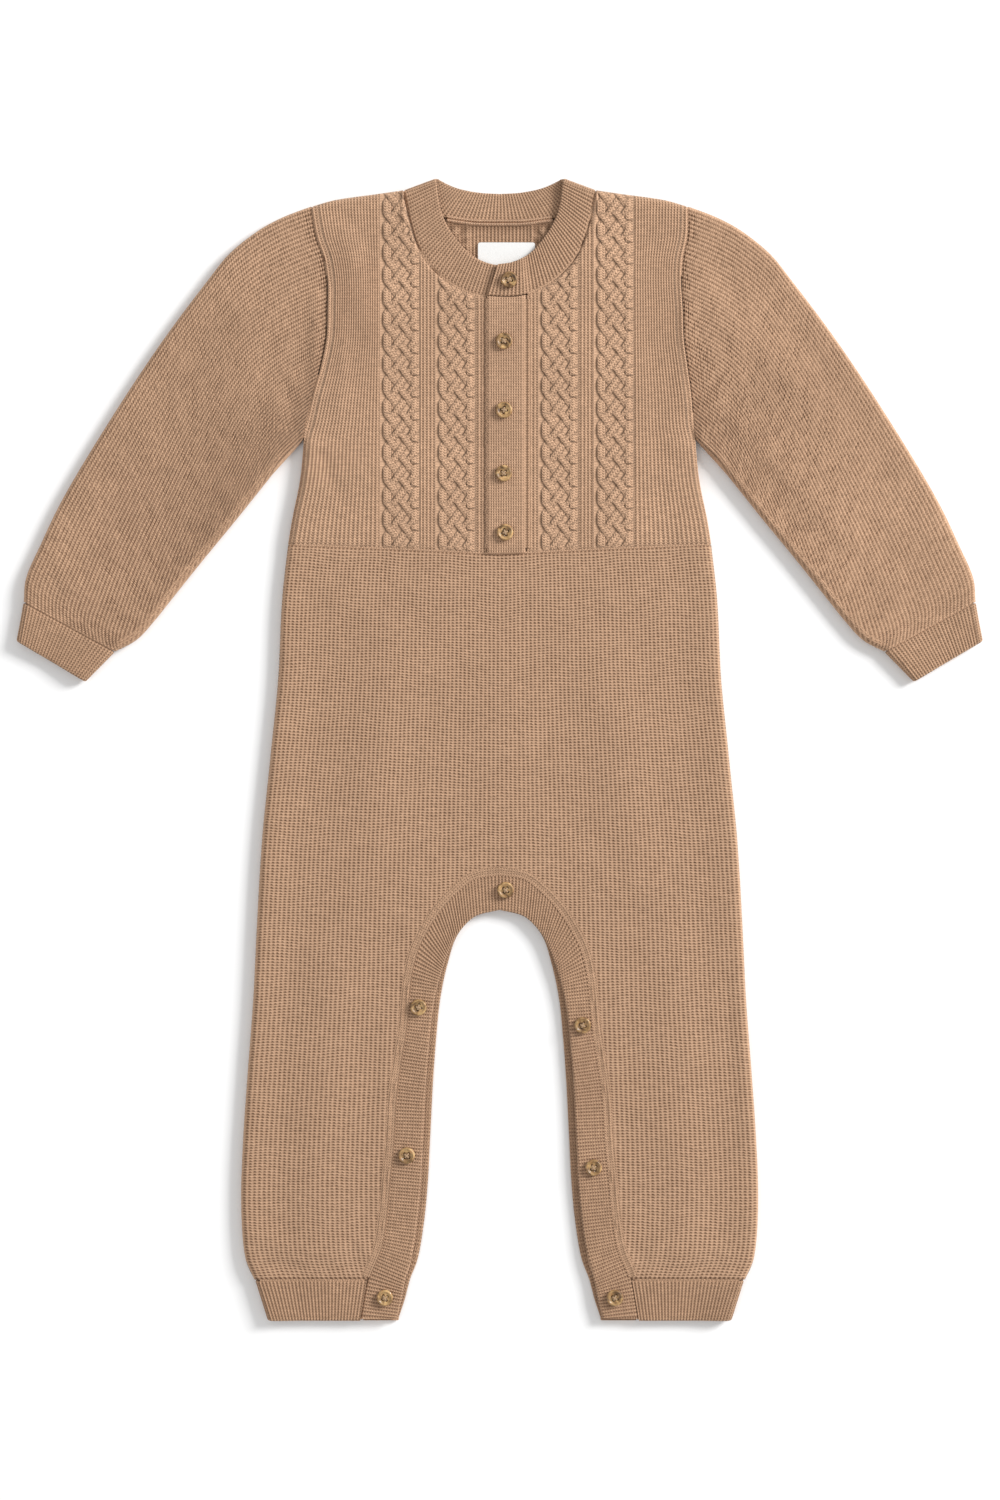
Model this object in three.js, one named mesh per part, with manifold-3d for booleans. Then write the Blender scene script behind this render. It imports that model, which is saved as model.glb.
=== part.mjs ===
// Baby romper in cable and rib knit, buttoned and laid out flat on its back.
// Millimetres, +Z up. The neck points along +Y, the front faces up, and the origin
// is under the middle of the outline, on the surface that the back lies on.
// The garment's own left and right aren't used: "left" is the side of -X.

import * as THREE from 'three';
import { mergeVertices } from 'three/addons/utils/BufferGeometryUtils.js';
import Module from 'manifold-3d';

const wasm = await Module();
wasm.setup();

// Driving sizes
const seamGap = 0.4;              // clear gap between two pieces that are sewn together
const ply = 2.2;                  // thickness of the knitted cloth
const turn = { outer: 3.4, inner: 1.2 };   // radii where front and back turn into each other
const midHeight = turn.outer;     // height of the side seams
const upper = { bottom: 2.6, top: 4.8 };   // the front layer where it lies on the back
const easeLength = 22;            // the cloth settles from its turned edge within this length
const rise = 2 * turn.outer - upper.top;   // how much higher the front is beside a turned edge
const puff = 0.9;                 // air between the layers, away from the edges
const puffStart = 4;              // distance from a turned edge where the air starts
const inland = 1000;              // edge distance of a place that has no turned edge near
const lap = { lowerTop: 4.4, upperBottom: 4.8, upperTop: 6.7 };   // heights of the lapped bands

const plait = {                   // flat cable of five strands
  width: 22, strand: 4.4, period: 12, height: 1.3, phase: 120,
  crest: 0.7, swing: 0.3, halfWidth: 0.62,   // a strand's mean height, its rise and its half width
  lanes: [0, 2.2, 4.4, 8.8, 13.2, 17.6, 19.8, 22], step: 3, margin: 1,
};
const rib = { pitch: 1.85, height: 0.45 };           // ribbed bands and cuffs
const fineRib = { pitch: 2, height: 0.35, step: 40, end: 97 };   // plain ribs beside the cables

const placket = { left: -6.9, right: 14.9, underRight: 11.6, rampStart: 12.3 };
const cableOffsets = [6, 36.5];   // where each cable starts, from the yoke's front edge
const yokeFront = { left: placket.left - seamGap, right: placket.right + seamGap };

const button = {
  radius: 4.5, thickness: 2.1, rim: 0.9, dish: 0.55, edge: 0.6,
  sides: 10, hole: 0.7, holeReach: 1.15, holeSides: 4, seat: 0.3,
};
const turnedRelief = 0.6;         // share of a raised pattern that is lost where the cloth turns
// Where a piece has few points along a curved seam, it keeps a little more clearance.
const clearance = { neck: 0.8, armhole: 0.75, fade: 10 };
const label = { left: -11.9, right: 19.5, top: 279, bottom: 257, base: 2.5, thickness: 0.6 };
const sizeTag = { left: 19.8, right: 24.7, top: 276, bottom: 263, base: 2.5, thickness: 0.6 };

// Outlines, each for one half of the garment, from the top down
const shoulder = [
  { x: 53, y: 307.6 },
  { x: 67.4, y: 305.5 },
  { x: 90.5, y: 302.2 },
  { x: 103.3, y: 298.6 },
];
const armhole = [
  { x: 103.3, y: 298.6 },
  { x: 101.6, y: 282 },
  { x: 98.4, y: 270 },
  { x: 97.2, y: 257.5 },
  { x: 97.6, y: 243 },
  { x: 98.2, y: 226 },
  { x: 101, y: 209 },
  { x: 104, y: 194 },
  { x: 105.8, y: 182 },
  { x: 107.6, y: 170 },
];
// The sleeves don't pull evenly: the middle of each armhole is moved by this much.
const armholeShift = { left: -3, right: 3, from: 176, to: 296 };
const yokeSide = [
  { x: 107.6, y: 170 },
  { x: 109.8, y: 148.2 },
  { x: 114.2, y: 126.2 },
  { x: 116.4, y: 112.6 },
];
const bodySide = [
  { x: 116.4, y: 112.6 },
  { x: 119.7, y: 82.2 },
  { x: 121.9, y: 38.2 },
  { x: 126.3, y: -5.8 },
  { x: 130.7, y: -49.8 },
  { x: 133.4, y: -93.8 },
  { x: 135.6, y: -137.8 },
  { x: 138.9, y: -181.8 },
  { x: 141.7, y: -225.8 },
  { x: 142.1, y: -255 },
  { x: 140, y: -279 },
  { x: 135, y: -291.6 },
];
const waist = [
  { x: 0, y: 107.4 },
  { x: 45, y: 109.6 },
  { x: 117, y: 112.6 },
];
const neckSeam = [                // where the front neckband is sewn to the yokes
  { x: -10, y: 249.6 },
  { x: 0, y: 249 },
  { x: 12, y: 249.6 },
  { x: 24, y: 254.6 },
  { x: 33, y: 261 },
  { x: 41, y: 270 },
  { x: 46, y: 280 },
  { x: 49.2, y: 291 },
  { x: 51, y: 300 },
  { x: 53, y: 307.6 },
];
const neckEdge = [                // the front neckband's free edge
  { x: -10, y: 269 },
  { x: 0, y: 266.4 },
  { x: 8, y: 268 },
  { x: 16, y: 272.4 },
  { x: 24, y: 281 },
  { x: 30, y: 290.5 },
  { x: 33, y: 299.5 },
  { x: 35, y: 314.3 },
];
const backNeckSeam = [
  { x: 53, y: 307.6 },
  { x: 40, y: 297 },
  { x: 28.4, y: 291.8 },
  { x: 14, y: 290 },
  { x: 0, y: 289.7 },
];
const backNeckEdge = [
  { x: 35, y: 314.3 },
  { x: 24, y: 309.4 },
  { x: 12, y: 306.8 },
  { x: 0, y: 306 },
];
const neckFoldLine = { seam: { x: 53, y: 307.6 }, edge: { x: 35, y: 314.3 } };

const sleeveOuter = [
  { x: 103.3, y: 298.6 },
  { x: 112, y: 295.6 },
  { x: 120.2, y: 292.3 },
  { x: 132.3, y: 285.7 },
  { x: 148.8, y: 272.5 },
  { x: 160.4, y: 258.2 },
  { x: 185.1, y: 225.2 },
  { x: 214.3, y: 181.2 },
  { x: 240.7, y: 137.2 },
  { x: 252.4, y: 113 },
  { x: 260.6, y: 94 },
  { x: 261.9, y: 81.1 },
];
const sleeveUnder = [
  { x: 107.6, y: 170 },
  { x: 118.6, y: 159.2 },
  { x: 127.4, y: 148.2 },
  { x: 145, y: 126.2 },
  { x: 163.1, y: 104.2 },
  { x: 180.7, y: 82.2 },
  { x: 189.5, y: 71.2 },
  { x: 199.5, y: 60.4 },
  { x: 211.6, y: 53.7 },
];
const cuffHem = { outer: { x: 265.9, y: 59.7 }, under: { x: 227.8, y: 37.1 } };

const legSeam = [                 // where the front leg band is sewn to the front
  { x: 0, y: -68.2 },
  { x: 14, y: -70.6 },
  { x: 24.2, y: -78.3 },
  { x: 33.2, y: -88.2 },
  { x: 40.4, y: -99.3 },
  { x: 45.6, y: -110 },
  { x: 48.8, y: -122.5 },
  { x: 50.4, y: -136 },
  { x: 52, y: -153.7 },
  { x: 54.8, y: -171 },
  { x: 57.6, y: -192 },
  { x: 58.8, y: -214 },
  { x: 60.8, y: -234.6 },
  { x: 62.8, y: -256 },
  { x: 65.8, y: -274 },
  { x: 72.6, y: -291.6 },
  { x: 76.5, y: -313 },
];
const legEdge = [                 // the leg bands' free edge, with the front band's inset there
  { x: 0, y: -88.2, inset: 0 },
  { x: 13.5, y: -91.9, inset: 0 },
  { x: 21.2, y: -99.3, inset: 0.2 },
  { x: 25, y: -106, inset: 0.8 },
  { x: 28.2, y: -116.5, inset: 1.8 },
  { x: 31, y: -128, inset: 2.6 },
  { x: 33.2, y: -141, inset: 3.2 },
  { x: 35, y: -159.8, inset: 3.6 },
  { x: 36.6, y: -181.8, inset: 3.8 },
  { x: 38.3, y: -214.8, inset: 3.8 },
  { x: 39.5, y: -238, inset: 3.8 },
  { x: 41.6, y: -260, inset: 3.8 },
  { x: 45.2, y: -280.8, inset: 3.4 },
  { x: 49.3, y: -291.8, inset: 2.6 },
  { x: 52.2, y: -302.8, inset: 1.8 },
  { x: 55.6, y: -313, inset: 1 },
];
const cuffSeamY = -291.6;
const hemY = -314.1;
const legCuffFold = { topX: 134.6, hemX: 127.6 };   // where a leg cuff turns to the back
const bandHemRow = { front: -312.8, back: -314.3 };   // the back band shows under the front one

// Buttons, at their places on the bands
const buttons = [
  { name: 'button_neck', x: 5.2, y: 257.7, on: 'lap' },
  { name: 'button_placket_1', x: 2.4, y: 224.1, on: 'lap' },
  { name: 'button_placket_2', x: 2.4, y: 186.2, on: 'lap' },
  { name: 'button_placket_3', x: 2.2, y: 151.5, on: 'lap' },
  { name: 'button_placket_4', x: 3, y: 119.1, on: 'lap' },
  { name: 'button_crotch', x: 3.5, y: -78.6, on: 'band' },
  { name: 'button_leg_left_1', x: -44.6, y: -141.6, on: 'band' },
  { name: 'button_leg_left_2', x: -51, y: -223, on: 'band' },
  { name: 'button_leg_left_3', x: -63, y: -301.1, on: 'band' },
  { name: 'button_leg_right_1', x: 45.6, y: -151.5, on: 'band' },
  { name: 'button_leg_right_2', x: 51.6, y: -229.6, on: 'band' },
  { name: 'button_leg_right_3', x: 63.2, y: -301.1, on: 'band' },
];

// Soft ridges of the front as it lies, each along a line between two points
const folds = [
  { x0: -84, y0: 282, x1: -74, y1: 236, height: 1.1, spread: 7 },
  { x0: -100, y0: 196, x1: -99, y1: 246, height: 1.3, spread: 4.5 },
  { x0: 103, y0: 190, x1: 102, y1: 240, height: 1, spread: 4.5 },
  { x0: -104, y0: 140, x1: -70, y1: 156, height: 0.8, spread: 8 },
  { x0: 106, y0: 144, x1: 74, y1: 160, height: 0.8, spread: 8 },
  { x0: -92, y0: 84, x1: 92, y1: 84, height: 0.7, spread: 12 },
  { x0: -60, y0: 60, x1: -74, y1: -60, height: 0.8, spread: 16 },
  { x0: 58, y0: 50, x1: 78, y1: -70, height: 0.9, spread: 16 },
  { x0: 0, y0: 40, x1: 0, y1: -48, height: 0.6, spread: 18 },
  { x0: -92, y0: -120, x1: -102, y1: -262, height: 1.2, spread: 16 },
  { x0: 94, y0: -112, x1: 102, y1: -262, height: 1.1, spread: 16 },
  { x0: -88, y0: -276, x1: -124, y1: -276, height: 0.9, spread: 7 },
  { x0: 88, y0: -276, x1: 124, y1: -276, height: 0.9, spread: 7 },
  { x0: -122, y0: 186, x1: -190, y1: 118, height: 1.1, spread: 8 },
  { x0: 122, y0: 186, x1: 190, y1: 118, height: 1.1, spread: 8 },
  { x0: -114, y0: 246, x1: -196, y1: 172, height: 1.2, spread: 12 },
  { x0: 114, y0: 246, x1: 196, y1: 172, height: 1.2, spread: 12 },
  { x0: -204, y0: 74, x1: -248, y1: 100, height: 0.9, spread: 7 },
  { x0: 204, y0: 74, x1: 248, y1: 100, height: 0.9, spread: 7 },
];

const colours = { knit: 0xc6a280, knitBands: 0xc09a78, label: 0xf2f1ee, button: 0xb0905a };

// Small helpers
const vector = (x, y, z) => new THREE.Vector3(x, y, z);
const mix = THREE.MathUtils.lerp;
const soft = (value, from, to) => THREE.MathUtils.smoothstep(value, from, to);
const sideName = (side) => (side < 0 ? 'left' : 'right');

function planCurve(rows) {
  const points = rows.map(({ x, y }) => vector(x, y, 0));
  return new THREE.CatmullRomCurve3(points, false, 'centripetal');
}

// A value of a table at a place between its rows, on a smooth curve through them.
function lookUp(rows, place, column, value) {
  const order = rows[0][place] < rows.at(-1)[place] ? rows : [...rows].reverse();
  const last = order.length - 2;
  const found = order.findIndex((row, k) => k <= last && value <= order[k + 1][place]);
  const k = found < 0 ? last : found;
  const slope = (i) => {
    const before = order[Math.max(i - 1, 0)];
    const after = order[Math.min(i + 1, order.length - 1)];
    return (after[column] - before[column]) / (after[place] - before[place]);
  };
  const span = order[k + 1][place] - order[k][place];
  const t = THREE.MathUtils.clamp((value - order[k][place]) / span, 0, 1);
  const h = { t2: t * t, t3: t * t * t };
  return (2 * h.t3 - 3 * h.t2 + 1) * order[k][column]
    + (h.t3 - 2 * h.t2 + t) * span * slope(k)
    + (3 * h.t2 - 2 * h.t3) * order[k + 1][column]
    + (h.t3 - h.t2) * span * slope(k + 1);
}

// A point beside a curve, to the right of its direction by the distance.
function beside(curve, t, distance) {
  const at = curve.getPointAt(t);
  const along = curve.getTangentAt(t);
  return vector(at.x + along.y * distance, at.y - along.x * distance, 0);
}

// How far the front layer is lifted at a place by its ridges and the air under it.
function lift(x, y, edgeDistance) {
  const ridges = folds.reduce((sum, fold) => {
    const along = { x: fold.x1 - fold.x0, y: fold.y1 - fold.y0 };
    const length = Math.hypot(along.x, along.y);
    const from = { x: x - fold.x0, y: y - fold.y0 };
    const t = THREE.MathUtils.clamp((from.x * along.x + from.y * along.y) / length ** 2, 0, 1);
    const away = Math.hypot(from.x - t * along.x, from.y - t * along.y);
    return sum + fold.height * Math.exp(-((away / fold.spread) ** 2));
  }, 0);
  return (puff + ridges) * soft(edgeDistance, puffStart, puffStart + easeLength);
}

// The two faces of the cloth at a place in the plan. Near a turned edge both follow
// arcs round one axis, down to the seam at mid height. `turned` is 1 there and 0 at a flat seam.
function skin(place, layer) {
  const { x, y, distance, turned, inward } = place;
  const near = Math.min(distance, turn.outer);
  const cosine = (turn.outer - near) / turn.outer;
  const sine = Math.sqrt(1 - cosine * cosine);
  const inset = (turn.outer - turn.inner) * cosine * turned;
  const settle = soft(distance, turn.outer, turn.outer + easeLength);
  const lifted = layer === 'upper' ? lift(x, y, mix(inland, distance, turned)) : 0;
  const half = seamGap / 2;
  let faces;
  if (layer === 'upper') {
    const arc = {
      outer: Math.max(midHeight + turn.outer * sine, midHeight + half) - rise * settle,
      inner: Math.max(midHeight + turn.inner * sine, midHeight + half) - rise * settle,
    };
    faces = {
      outer: mix(upper.top, arc.outer, turned) + lifted,
      inner: mix(upper.bottom, arc.inner, turned) + lifted,
    };
  } else {
    faces = {
      outer: mix(0, Math.min(midHeight - turn.outer * sine, midHeight - half), turned),
      inner: mix(ply, Math.min(midHeight - turn.inner * sine, midHeight - half), turned),
    };
  }
  return {
    outer: vector(x, y, faces.outer),
    inner: vector(x + inward.x * inset, y + inward.y * inset, faces.inner),
  };
}

// Faces between two lines of points: step by step where both have as many points, and
// otherwise always along the shorter diagonal.
function zip(left, right, faces) {
  const inStep = left.length === right.length;
  let i = 0;
  let j = 0;
  while (i < left.length - 1 || j < right.length - 1) {
    const canLeft = i < left.length - 1;
    const canRight = j < right.length - 1;
    const viaLeft = canLeft ? left[i + 1].distanceTo(right[j]) : Infinity;
    const viaRight = canRight ? left[i].distanceTo(right[j + 1]) : Infinity;
    const goLeft = inStep ? i <= j : viaLeft <= viaRight;
    if (goLeft) {
      faces.push([left[i], right[j], left[i + 1]]);
      i += 1;
    } else {
      faces.push([left[i], right[j], right[j + 1]]);
      j += 1;
    }
  }
}

// Faces of a cloth wall. Each surface is a list of lines of points, and a side that is
// joined to the other half of the piece stays open up to the given point.
function wallFaces(outer, inner, joined = { first: 0, last: 0 }) {
  const faces = [];
  outer.slice(1).forEach((line, k) => zip(outer[k], line, faces));
  inner.slice(1).forEach((line, k) => zip(line, inner[k], faces));
  if (joined.first !== null) {
    zip(inner[0].slice(joined.first), outer[0].slice(joined.first), faces);
  }
  if (joined.last !== null) {
    zip(outer.at(-1).slice(joined.last), inner.at(-1).slice(joined.last), faces);
  }
  zip(outer.map((line) => line[0]), inner.map((line) => line[0]), faces);
  zip(inner.map((line) => line.at(-1)), outer.map((line) => line.at(-1)), faces);
  return faces;
}

// A tube: the lines run along it and close round it.
function tubeFaces(outer, inner) {
  return wallFaces([...outer, outer[0]], [...inner, inner[0]], { first: null, last: null });
}

function volumeOf(faces) {
  return faces.reduce((sum, [a, b, c]) => sum + a.dot(vector(0, 0, 0).crossVectors(b, c)), 0) / 6;
}

function solid(faces) {
  const facing = volumeOf(faces) < 0 ? faces.map(([a, b, c]) => [a, c, b]) : faces;
  const geometry = new THREE.BufferGeometry();
  const numbers = facing.flatMap((face) => face.flatMap((p) => [p.x, p.y, p.z]));
  geometry.setAttribute('position', new THREE.Float32BufferAttribute(numbers, 3));
  const whole = mergeVertices(geometry, 1e-4);
  whole.computeVertexNormals();
  return whole;
}

// Height of the flat cable, from 0 to 1. Strands that lean one way go over at one
// crossing and under at the next, as in a plain plait.
function plaitHeight(across, along) {
  const { width, strand, period } = plait;
  const turnAt = strand / 2;
  const swing = Math.cos((2 * Math.PI * along) / period);
  const shift = (2 * strand * along) / period;
  let height = 0;
  for (const lean of [1, -1]) {
    const over = plait.crest + plait.swing * lean * swing;
    const wrapped = THREE.MathUtils.euclideanModulo(strand + lean * shift, 2 * strand);
    for (let centre = wrapped - 2 * strand; centre < width + 2 * strand; centre += 2 * strand) {
      const inside = THREE.MathUtils.clamp(centre, turnAt, width - turnAt);
      const away = (across - inside) / (plait.halfWidth * strand);
      const reach = Math.abs(centre - inside) > strand ? 0 : 1;
      height = Math.max(height, reach * over * Math.sqrt(Math.max(0, 1 - away * away)));
    }
  }
  return height;
}

// Front yokes and back yoke
function armholeX(side, y) {
  const { from, to } = armholeShift;
  const reach = Math.sin(Math.PI * THREE.MathUtils.clamp((y - from) / (to - from), 0, 1));
  return lookUp(armhole, 'y', 'x', y) + armholeShift[sideName(side)] * reach;
}

function yokeOuterX(side, y) {
  const armpitY = armhole.at(-1).y;
  return y > armpitY
    ? armholeX(side, y) - clearance.armhole * soft(y, armpitY, armpitY + clearance.fade)
    : lookUp(yokeSide, 'y', 'x', y);
}

function yokeTopY(x, seamRows) {
  const far = Math.abs(x);
  if (far >= shoulder[0].x) {
    return lookUp(shoulder, 'x', 'y', Math.min(far, shoulder.at(-1).x));
  }
  return lookUp(seamRows, 'x', 'y', Math.max(0, far - clearance.neck)) - seamGap;
}

// What is near a place on a yoke: its turned side under the arm, or its turned shoulder.
const turnFade = {
  underArmFrom: -6, underArmTo: 4, shoulderFrom: -2.5, shoulderTo: 1, reach: 60, topFrom: -2,
};

function yokePlace(x, y, columnTop, sideDistance) {
  const side = Math.sign(x);
  const armpitY = armhole.at(-1).y;
  const underArm = 1 - soft(y, armpitY + turnFade.underArmFrom, armpitY + turnFade.underArmTo);
  const atShoulder = soft(Math.abs(x), shoulder[0].x + turnFade.shoulderFrom,
    shoulder[0].x + turnFade.shoulderTo);
  const topDistance = columnTop - y;
  const shoulderIsNear = atShoulder > 0 && topDistance < turnFade.reach;
  if (shoulderIsNear && topDistance * atShoulder < sideDistance) {
    return { x, y, distance: topDistance, turned: atShoulder, inward: { x: 0, y: -1 } };
  }
  return { x, y, distance: sideDistance, turned: underArm, inward: { x: -side, y: 0 } };
}

const edgeSteps = [0, 1, turn.outer];   // distances from a turned edge where the arc has points

// The places of one column of a yoke, from the waist up.
function yokeColumn(xAt, sideDistance, seamRows, step, phased) {
  const low = lookUp(waist, 'x', 'y', Math.abs(xAt(waist.at(-1).y))) + seamGap / 2;
  const top = yokeTopY(xAt(yokeTopY(xAt(shoulder.at(-1).y), seamRows)), seamRows);
  const turnedTop = Math.abs(xAt(top)) > shoulder[0].x + turnFade.topFrom;
  const heights = [low];
  const topSteps = turnedTop ? edgeSteps : [0];
  const inside = top - topSteps.at(-1);
  if (phased) {
    const steps = Math.ceil((low + plait.margin - plait.phase) / plait.step);
    const first = plait.phase + plait.step * steps;
    for (let y = first; y < inside - plait.margin; y += plait.step) {
      heights.push(y);
    }
  } else {
    const count = Math.max(2, Math.round((inside - low) / step));
    for (let k = 1; k < count; k += 1) {
      heights.push(mix(low, inside, k / count));
    }
  }
  topSteps.slice().reverse().forEach((distance) => heights.push(top - distance));
  return heights.map((y) => yokePlace(xAt(y), y, top, sideDistance(y)));
}

function yokeLanes(side) {
  const front = yokeFront[sideName(side)];
  const cableEnd = cableOffsets[1] + plait.width;
  const lanes = [];
  const ribLanes = (from, to, skipFirst, skipLast) => {
    const count = 2 * Math.round((to - from) / fineRib.pitch);
    for (let k = skipFirst ? 1 : 0; k <= count - (skipLast ? 1 : 0); k += 1) {
      lanes.push({ offset: mix(from, to, k / count), raised: k % 2 ? fineRib.height : 0 });
    }
  };
  ribLanes(0, cableOffsets[0], false, true);
  cableOffsets.forEach((start, k) => {
    const outward = side > 0 ? plait.lanes : plait.lanes.slice().reverse();
    outward.forEach((across) => {
      const fromFront = side > 0 ? across : plait.width - across;
      lanes.push({ offset: start + fromFront, cable: across });
    });
    if (k === 0) {
      ribLanes(start + plait.width, cableOffsets[1], true, true);
    }
  });
  const sideCount = 2 * Math.round((fineRib.end - Math.abs(front) - cableEnd) / fineRib.pitch);
  for (let k = 1; k <= sideCount; k += 1) {
    lanes.push({ share: k / sideCount, raised: k % 2 ? fineRib.height : 0 });
  }
  edgeSteps.slice(0, -1).reverse().forEach((distance) => lanes.push({ edge: distance, raised: 0 }));
  return lanes.map((lane) => ({
    ...lane,
    x: (y) => {
      const outer = yokeOuterX(side, y);
      if (lane.edge !== undefined) {
        return side * (outer - lane.edge);
      }
      if (lane.share !== undefined) {
        const from = Math.abs(front + side * cableEnd);
        return side * mix(from, outer - turn.outer, lane.share);
      }
      return front + side * lane.offset;
    },
  }));
}

// Lanes of the plain inside, as shares of the width, closer where the neck curves
const frontYokeShares = [0, 0.12, 0.25, 0.33, 0.39, 0.43, 0.47, 0.5, 0.56, 0.66, 0.78, 0.9];

function frontYoke(side) {
  const fromSide = (x, y) => yokeOuterX(side, y) - Math.abs(x);
  const outer = yokeLanes(side).map((lane) => {
    const places = yokeColumn(lane.x, (y) => fromSide(lane.x(y), y), neckSeam,
      fineRib.step, lane.cable !== undefined);
    return places.map((place, k) => {
      const point = skin(place, 'upper').outer;
      const atEnd = k === 0 || k === places.length - 1;
      const raised = lane.cable === undefined
        ? lane.raised
        : plait.height * plaitHeight(lane.cable, plait.phase - place.y);
      const onTurn = place.turned * (place.distance <= turn.outer ? 1 : 0);
      point.z += atEnd ? 0 : raised * (1 - turnedRelief * onTurn);
      return point;
    });
  });
  const front = yokeFront[sideName(side)];
  const innerLanes = [
    ...frontYokeShares.map((share) => (y) => mix(front,
      side * (yokeOuterX(side, y) - turn.outer), share)),
    ...edgeSteps.slice().reverse().map((edge) => (y) => side * (yokeOuterX(side, y) - edge)),
  ];
  const inner = innerLanes.map((laneX) => yokeColumn(laneX, (y) => fromSide(laneX(y), y),
    neckSeam, fineRib.step, false).map((place) => skin(place, 'upper').inner));
  return solid(wallFaces(outer, inner));
}

const backYokeLanes = [0, 11, 21, 28, 34, 40, 45.5, 50, 53.4, 72];   // closer along the neck
const backYokeSteps = { middle: 60, armhole: 14 };

function backYoke() {
  const half = (side) => [
    ...backYokeLanes.map((far) => ({ side, x: () => side * far, step: backYokeSteps.middle })),
    ...edgeSteps.slice().reverse().map((edge) => ({
      side,
      x: (y) => side * (yokeOuterX(side, y) - edge),
      step: backYokeSteps.armhole,
    })),
  ];
  const lanes = [...half(-1).slice(1).reverse(), ...half(1)];
  const columns = lanes.map(({ side, x, step }) => yokeColumn(x,
    (y) => yokeOuterX(side, y) - Math.abs(x(y)), backNeckSeam, step, false)
    .map((place) => skin(place, 'lower')));
  return solid(wallFaces(columns.map((column) => column.map((p) => p.outer)),
    columns.map((column) => column.map((p) => p.inner))));
}

// The seam between a leg and its band. It is straight between the body's rows, so that both
// pieces meet along one line. The back band shows a little inside the front one.
const bodyRows = { torso: 8, leg: 14, torsoShare: 0.43, crowding: 1.35, alongWaist: 4 };

function legSeamNodes(layer, distance) {
  const curve = planCurve(legSeam.map((row) => ({
    x: row.x - (layer === 'upper' ? 0 : lookUp(legEdge, 'y', 'inset', row.y)),
    y: row.y,
  })));
  let cuffShare = 1;
  while (curve.getPointAt(cuffShare).y < cuffSeamY) {
    cuffShare -= 0.001;
  }
  const nodes = [];
  for (let k = 0; k <= bodyRows.leg; k += 1) {
    const t = cuffShare * (k / bodyRows.leg) ** bodyRows.crowding;
    nodes.push({ t, at: beside(curve, t, distance) });
  }
  nodes[0].at = vector(0, legSeam[0].y - distance, 0);
  nodes.push({ t: 1, at: beside(curve, 1, distance) });
  return nodes;
}

function onNodes(nodes, t) {
  const k = Math.min(nodes.length - 2, nodes.findLastIndex((node) => node.t <= t));
  const share = (t - nodes[k].t) / (nodes[k + 1].t - nodes[k].t);
  return nodes[k].at.clone().lerp(nodes[k + 1].at, share);
}

// Front and back of the body, each in one piece from the waist to both leg cuffs
const bodyShares = { outer: [0.08, 0.2, 0.34, 0.5, 0.66, 0.83, 1], plain: [0.35, 0.7, 1] };

function bodyColumns(side, layer, edges, shares) {
  const sideCurve = planCurve(bodySide);
  const nodes = legSeamNodes(layer, -seamGap / 2);
  const rows = [];
  for (let k = 0; k <= bodyRows.torso + bodyRows.leg; k += 1) {
    const inTorso = k <= bodyRows.torso;
    const part = inTorso ? k / bodyRows.torso : (k - bodyRows.torso) / bodyRows.leg;
    const along = inTorso
      ? bodyRows.torsoShare * part
      : mix(bodyRows.torsoShare, 1, part ** bodyRows.crowding);
    const centreY = mix(waist[0].y, nodes[0].at.y, part);
    rows.push({
      outer: sideCurve.getPointAt(along),
      inner: inTorso ? vector(0, centreY, 0) : nodes[k - bodyRows.torso].at,
      k,
    });
  }
  const lanes = [...edges.map((edge) => ({ edge })), ...shares.map((share) => ({ share }))];
  return lanes.map(({ edge, share }) => rows.map(({ outer, inner, k }) => {
    const width = outer.distanceTo(inner);
    const t = edge === undefined ? mix(turn.outer / width, 1, share) : edge / width;
    const plan = outer.clone().lerp(inner, t);
    const straight = mix(outer.y, inner.y, t);
    plan.y += (lookUp(waist, 'x', 'y', plan.x) - straight) * (1 - soft(k, 0, bodyRows.alongWaist));
    plan.y -= k === 0 ? seamGap / 2 : 0;
    plan.y = k === rows.length - 1 ? cuffSeamY + seamGap / 2 : plan.y;
    const inward = { x: -side, y: 0 };
    return skin({ x: side * plan.x, y: plan.y, distance: t * width, turned: 1, inward }, layer);
  }));
}

function body(layer) {
  const plainEdges = [0, turn.outer];
  const faces = [1, -1].flatMap((side) => {
    const outerColumns = layer === 'upper'
      ? bodyColumns(side, layer, edgeSteps, bodyShares.outer)
      : bodyColumns(side, layer, edgeSteps, bodyShares.plain);
    const innerColumns = bodyColumns(side, layer, plainEdges, bodyShares.plain);
    const outer = outerColumns.map((column) => column.map((p) => p.outer));
    const inner = innerColumns.map((column) => column.map((p) => p.inner));
    return side > 0
      ? wallFaces(outer.reverse(), inner.reverse(), { first: bodyRows.torso, last: 0 })
      : wallFaces(outer, inner, { first: 0, last: bodyRows.torso });
  });
  return solid(faces);
}

// Strips of ribbed cloth: bands and leg cuffs. A station has its two ends, outside and inside.
function stationFaces(outerStations, innerStations) {
  const lines = (stations, keys) => keys.map((key) => stations.map((station) => station[key]));
  return wallFaces(lines(outerStations, ['outerA', 'outerB']),
    lines(innerStations, ['innerA', 'innerB']));
}

function flatStation(a, b, heights, raised = 0) {
  const lifted = (p) => lift(p.x, p.y, heights.fromEdge ?? inland) * (heights.lifted ?? 1);
  return {
    outerA: vector(a.x, a.y, heights.outer + raised + lifted(a)),
    outerB: vector(b.x, b.y, heights.outer + raised + lifted(b)),
    innerA: vector(a.x, a.y, heights.inner + lifted(a)),
    innerB: vector(b.x, b.y, heights.inner + lifted(b)),
  };
}

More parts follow.
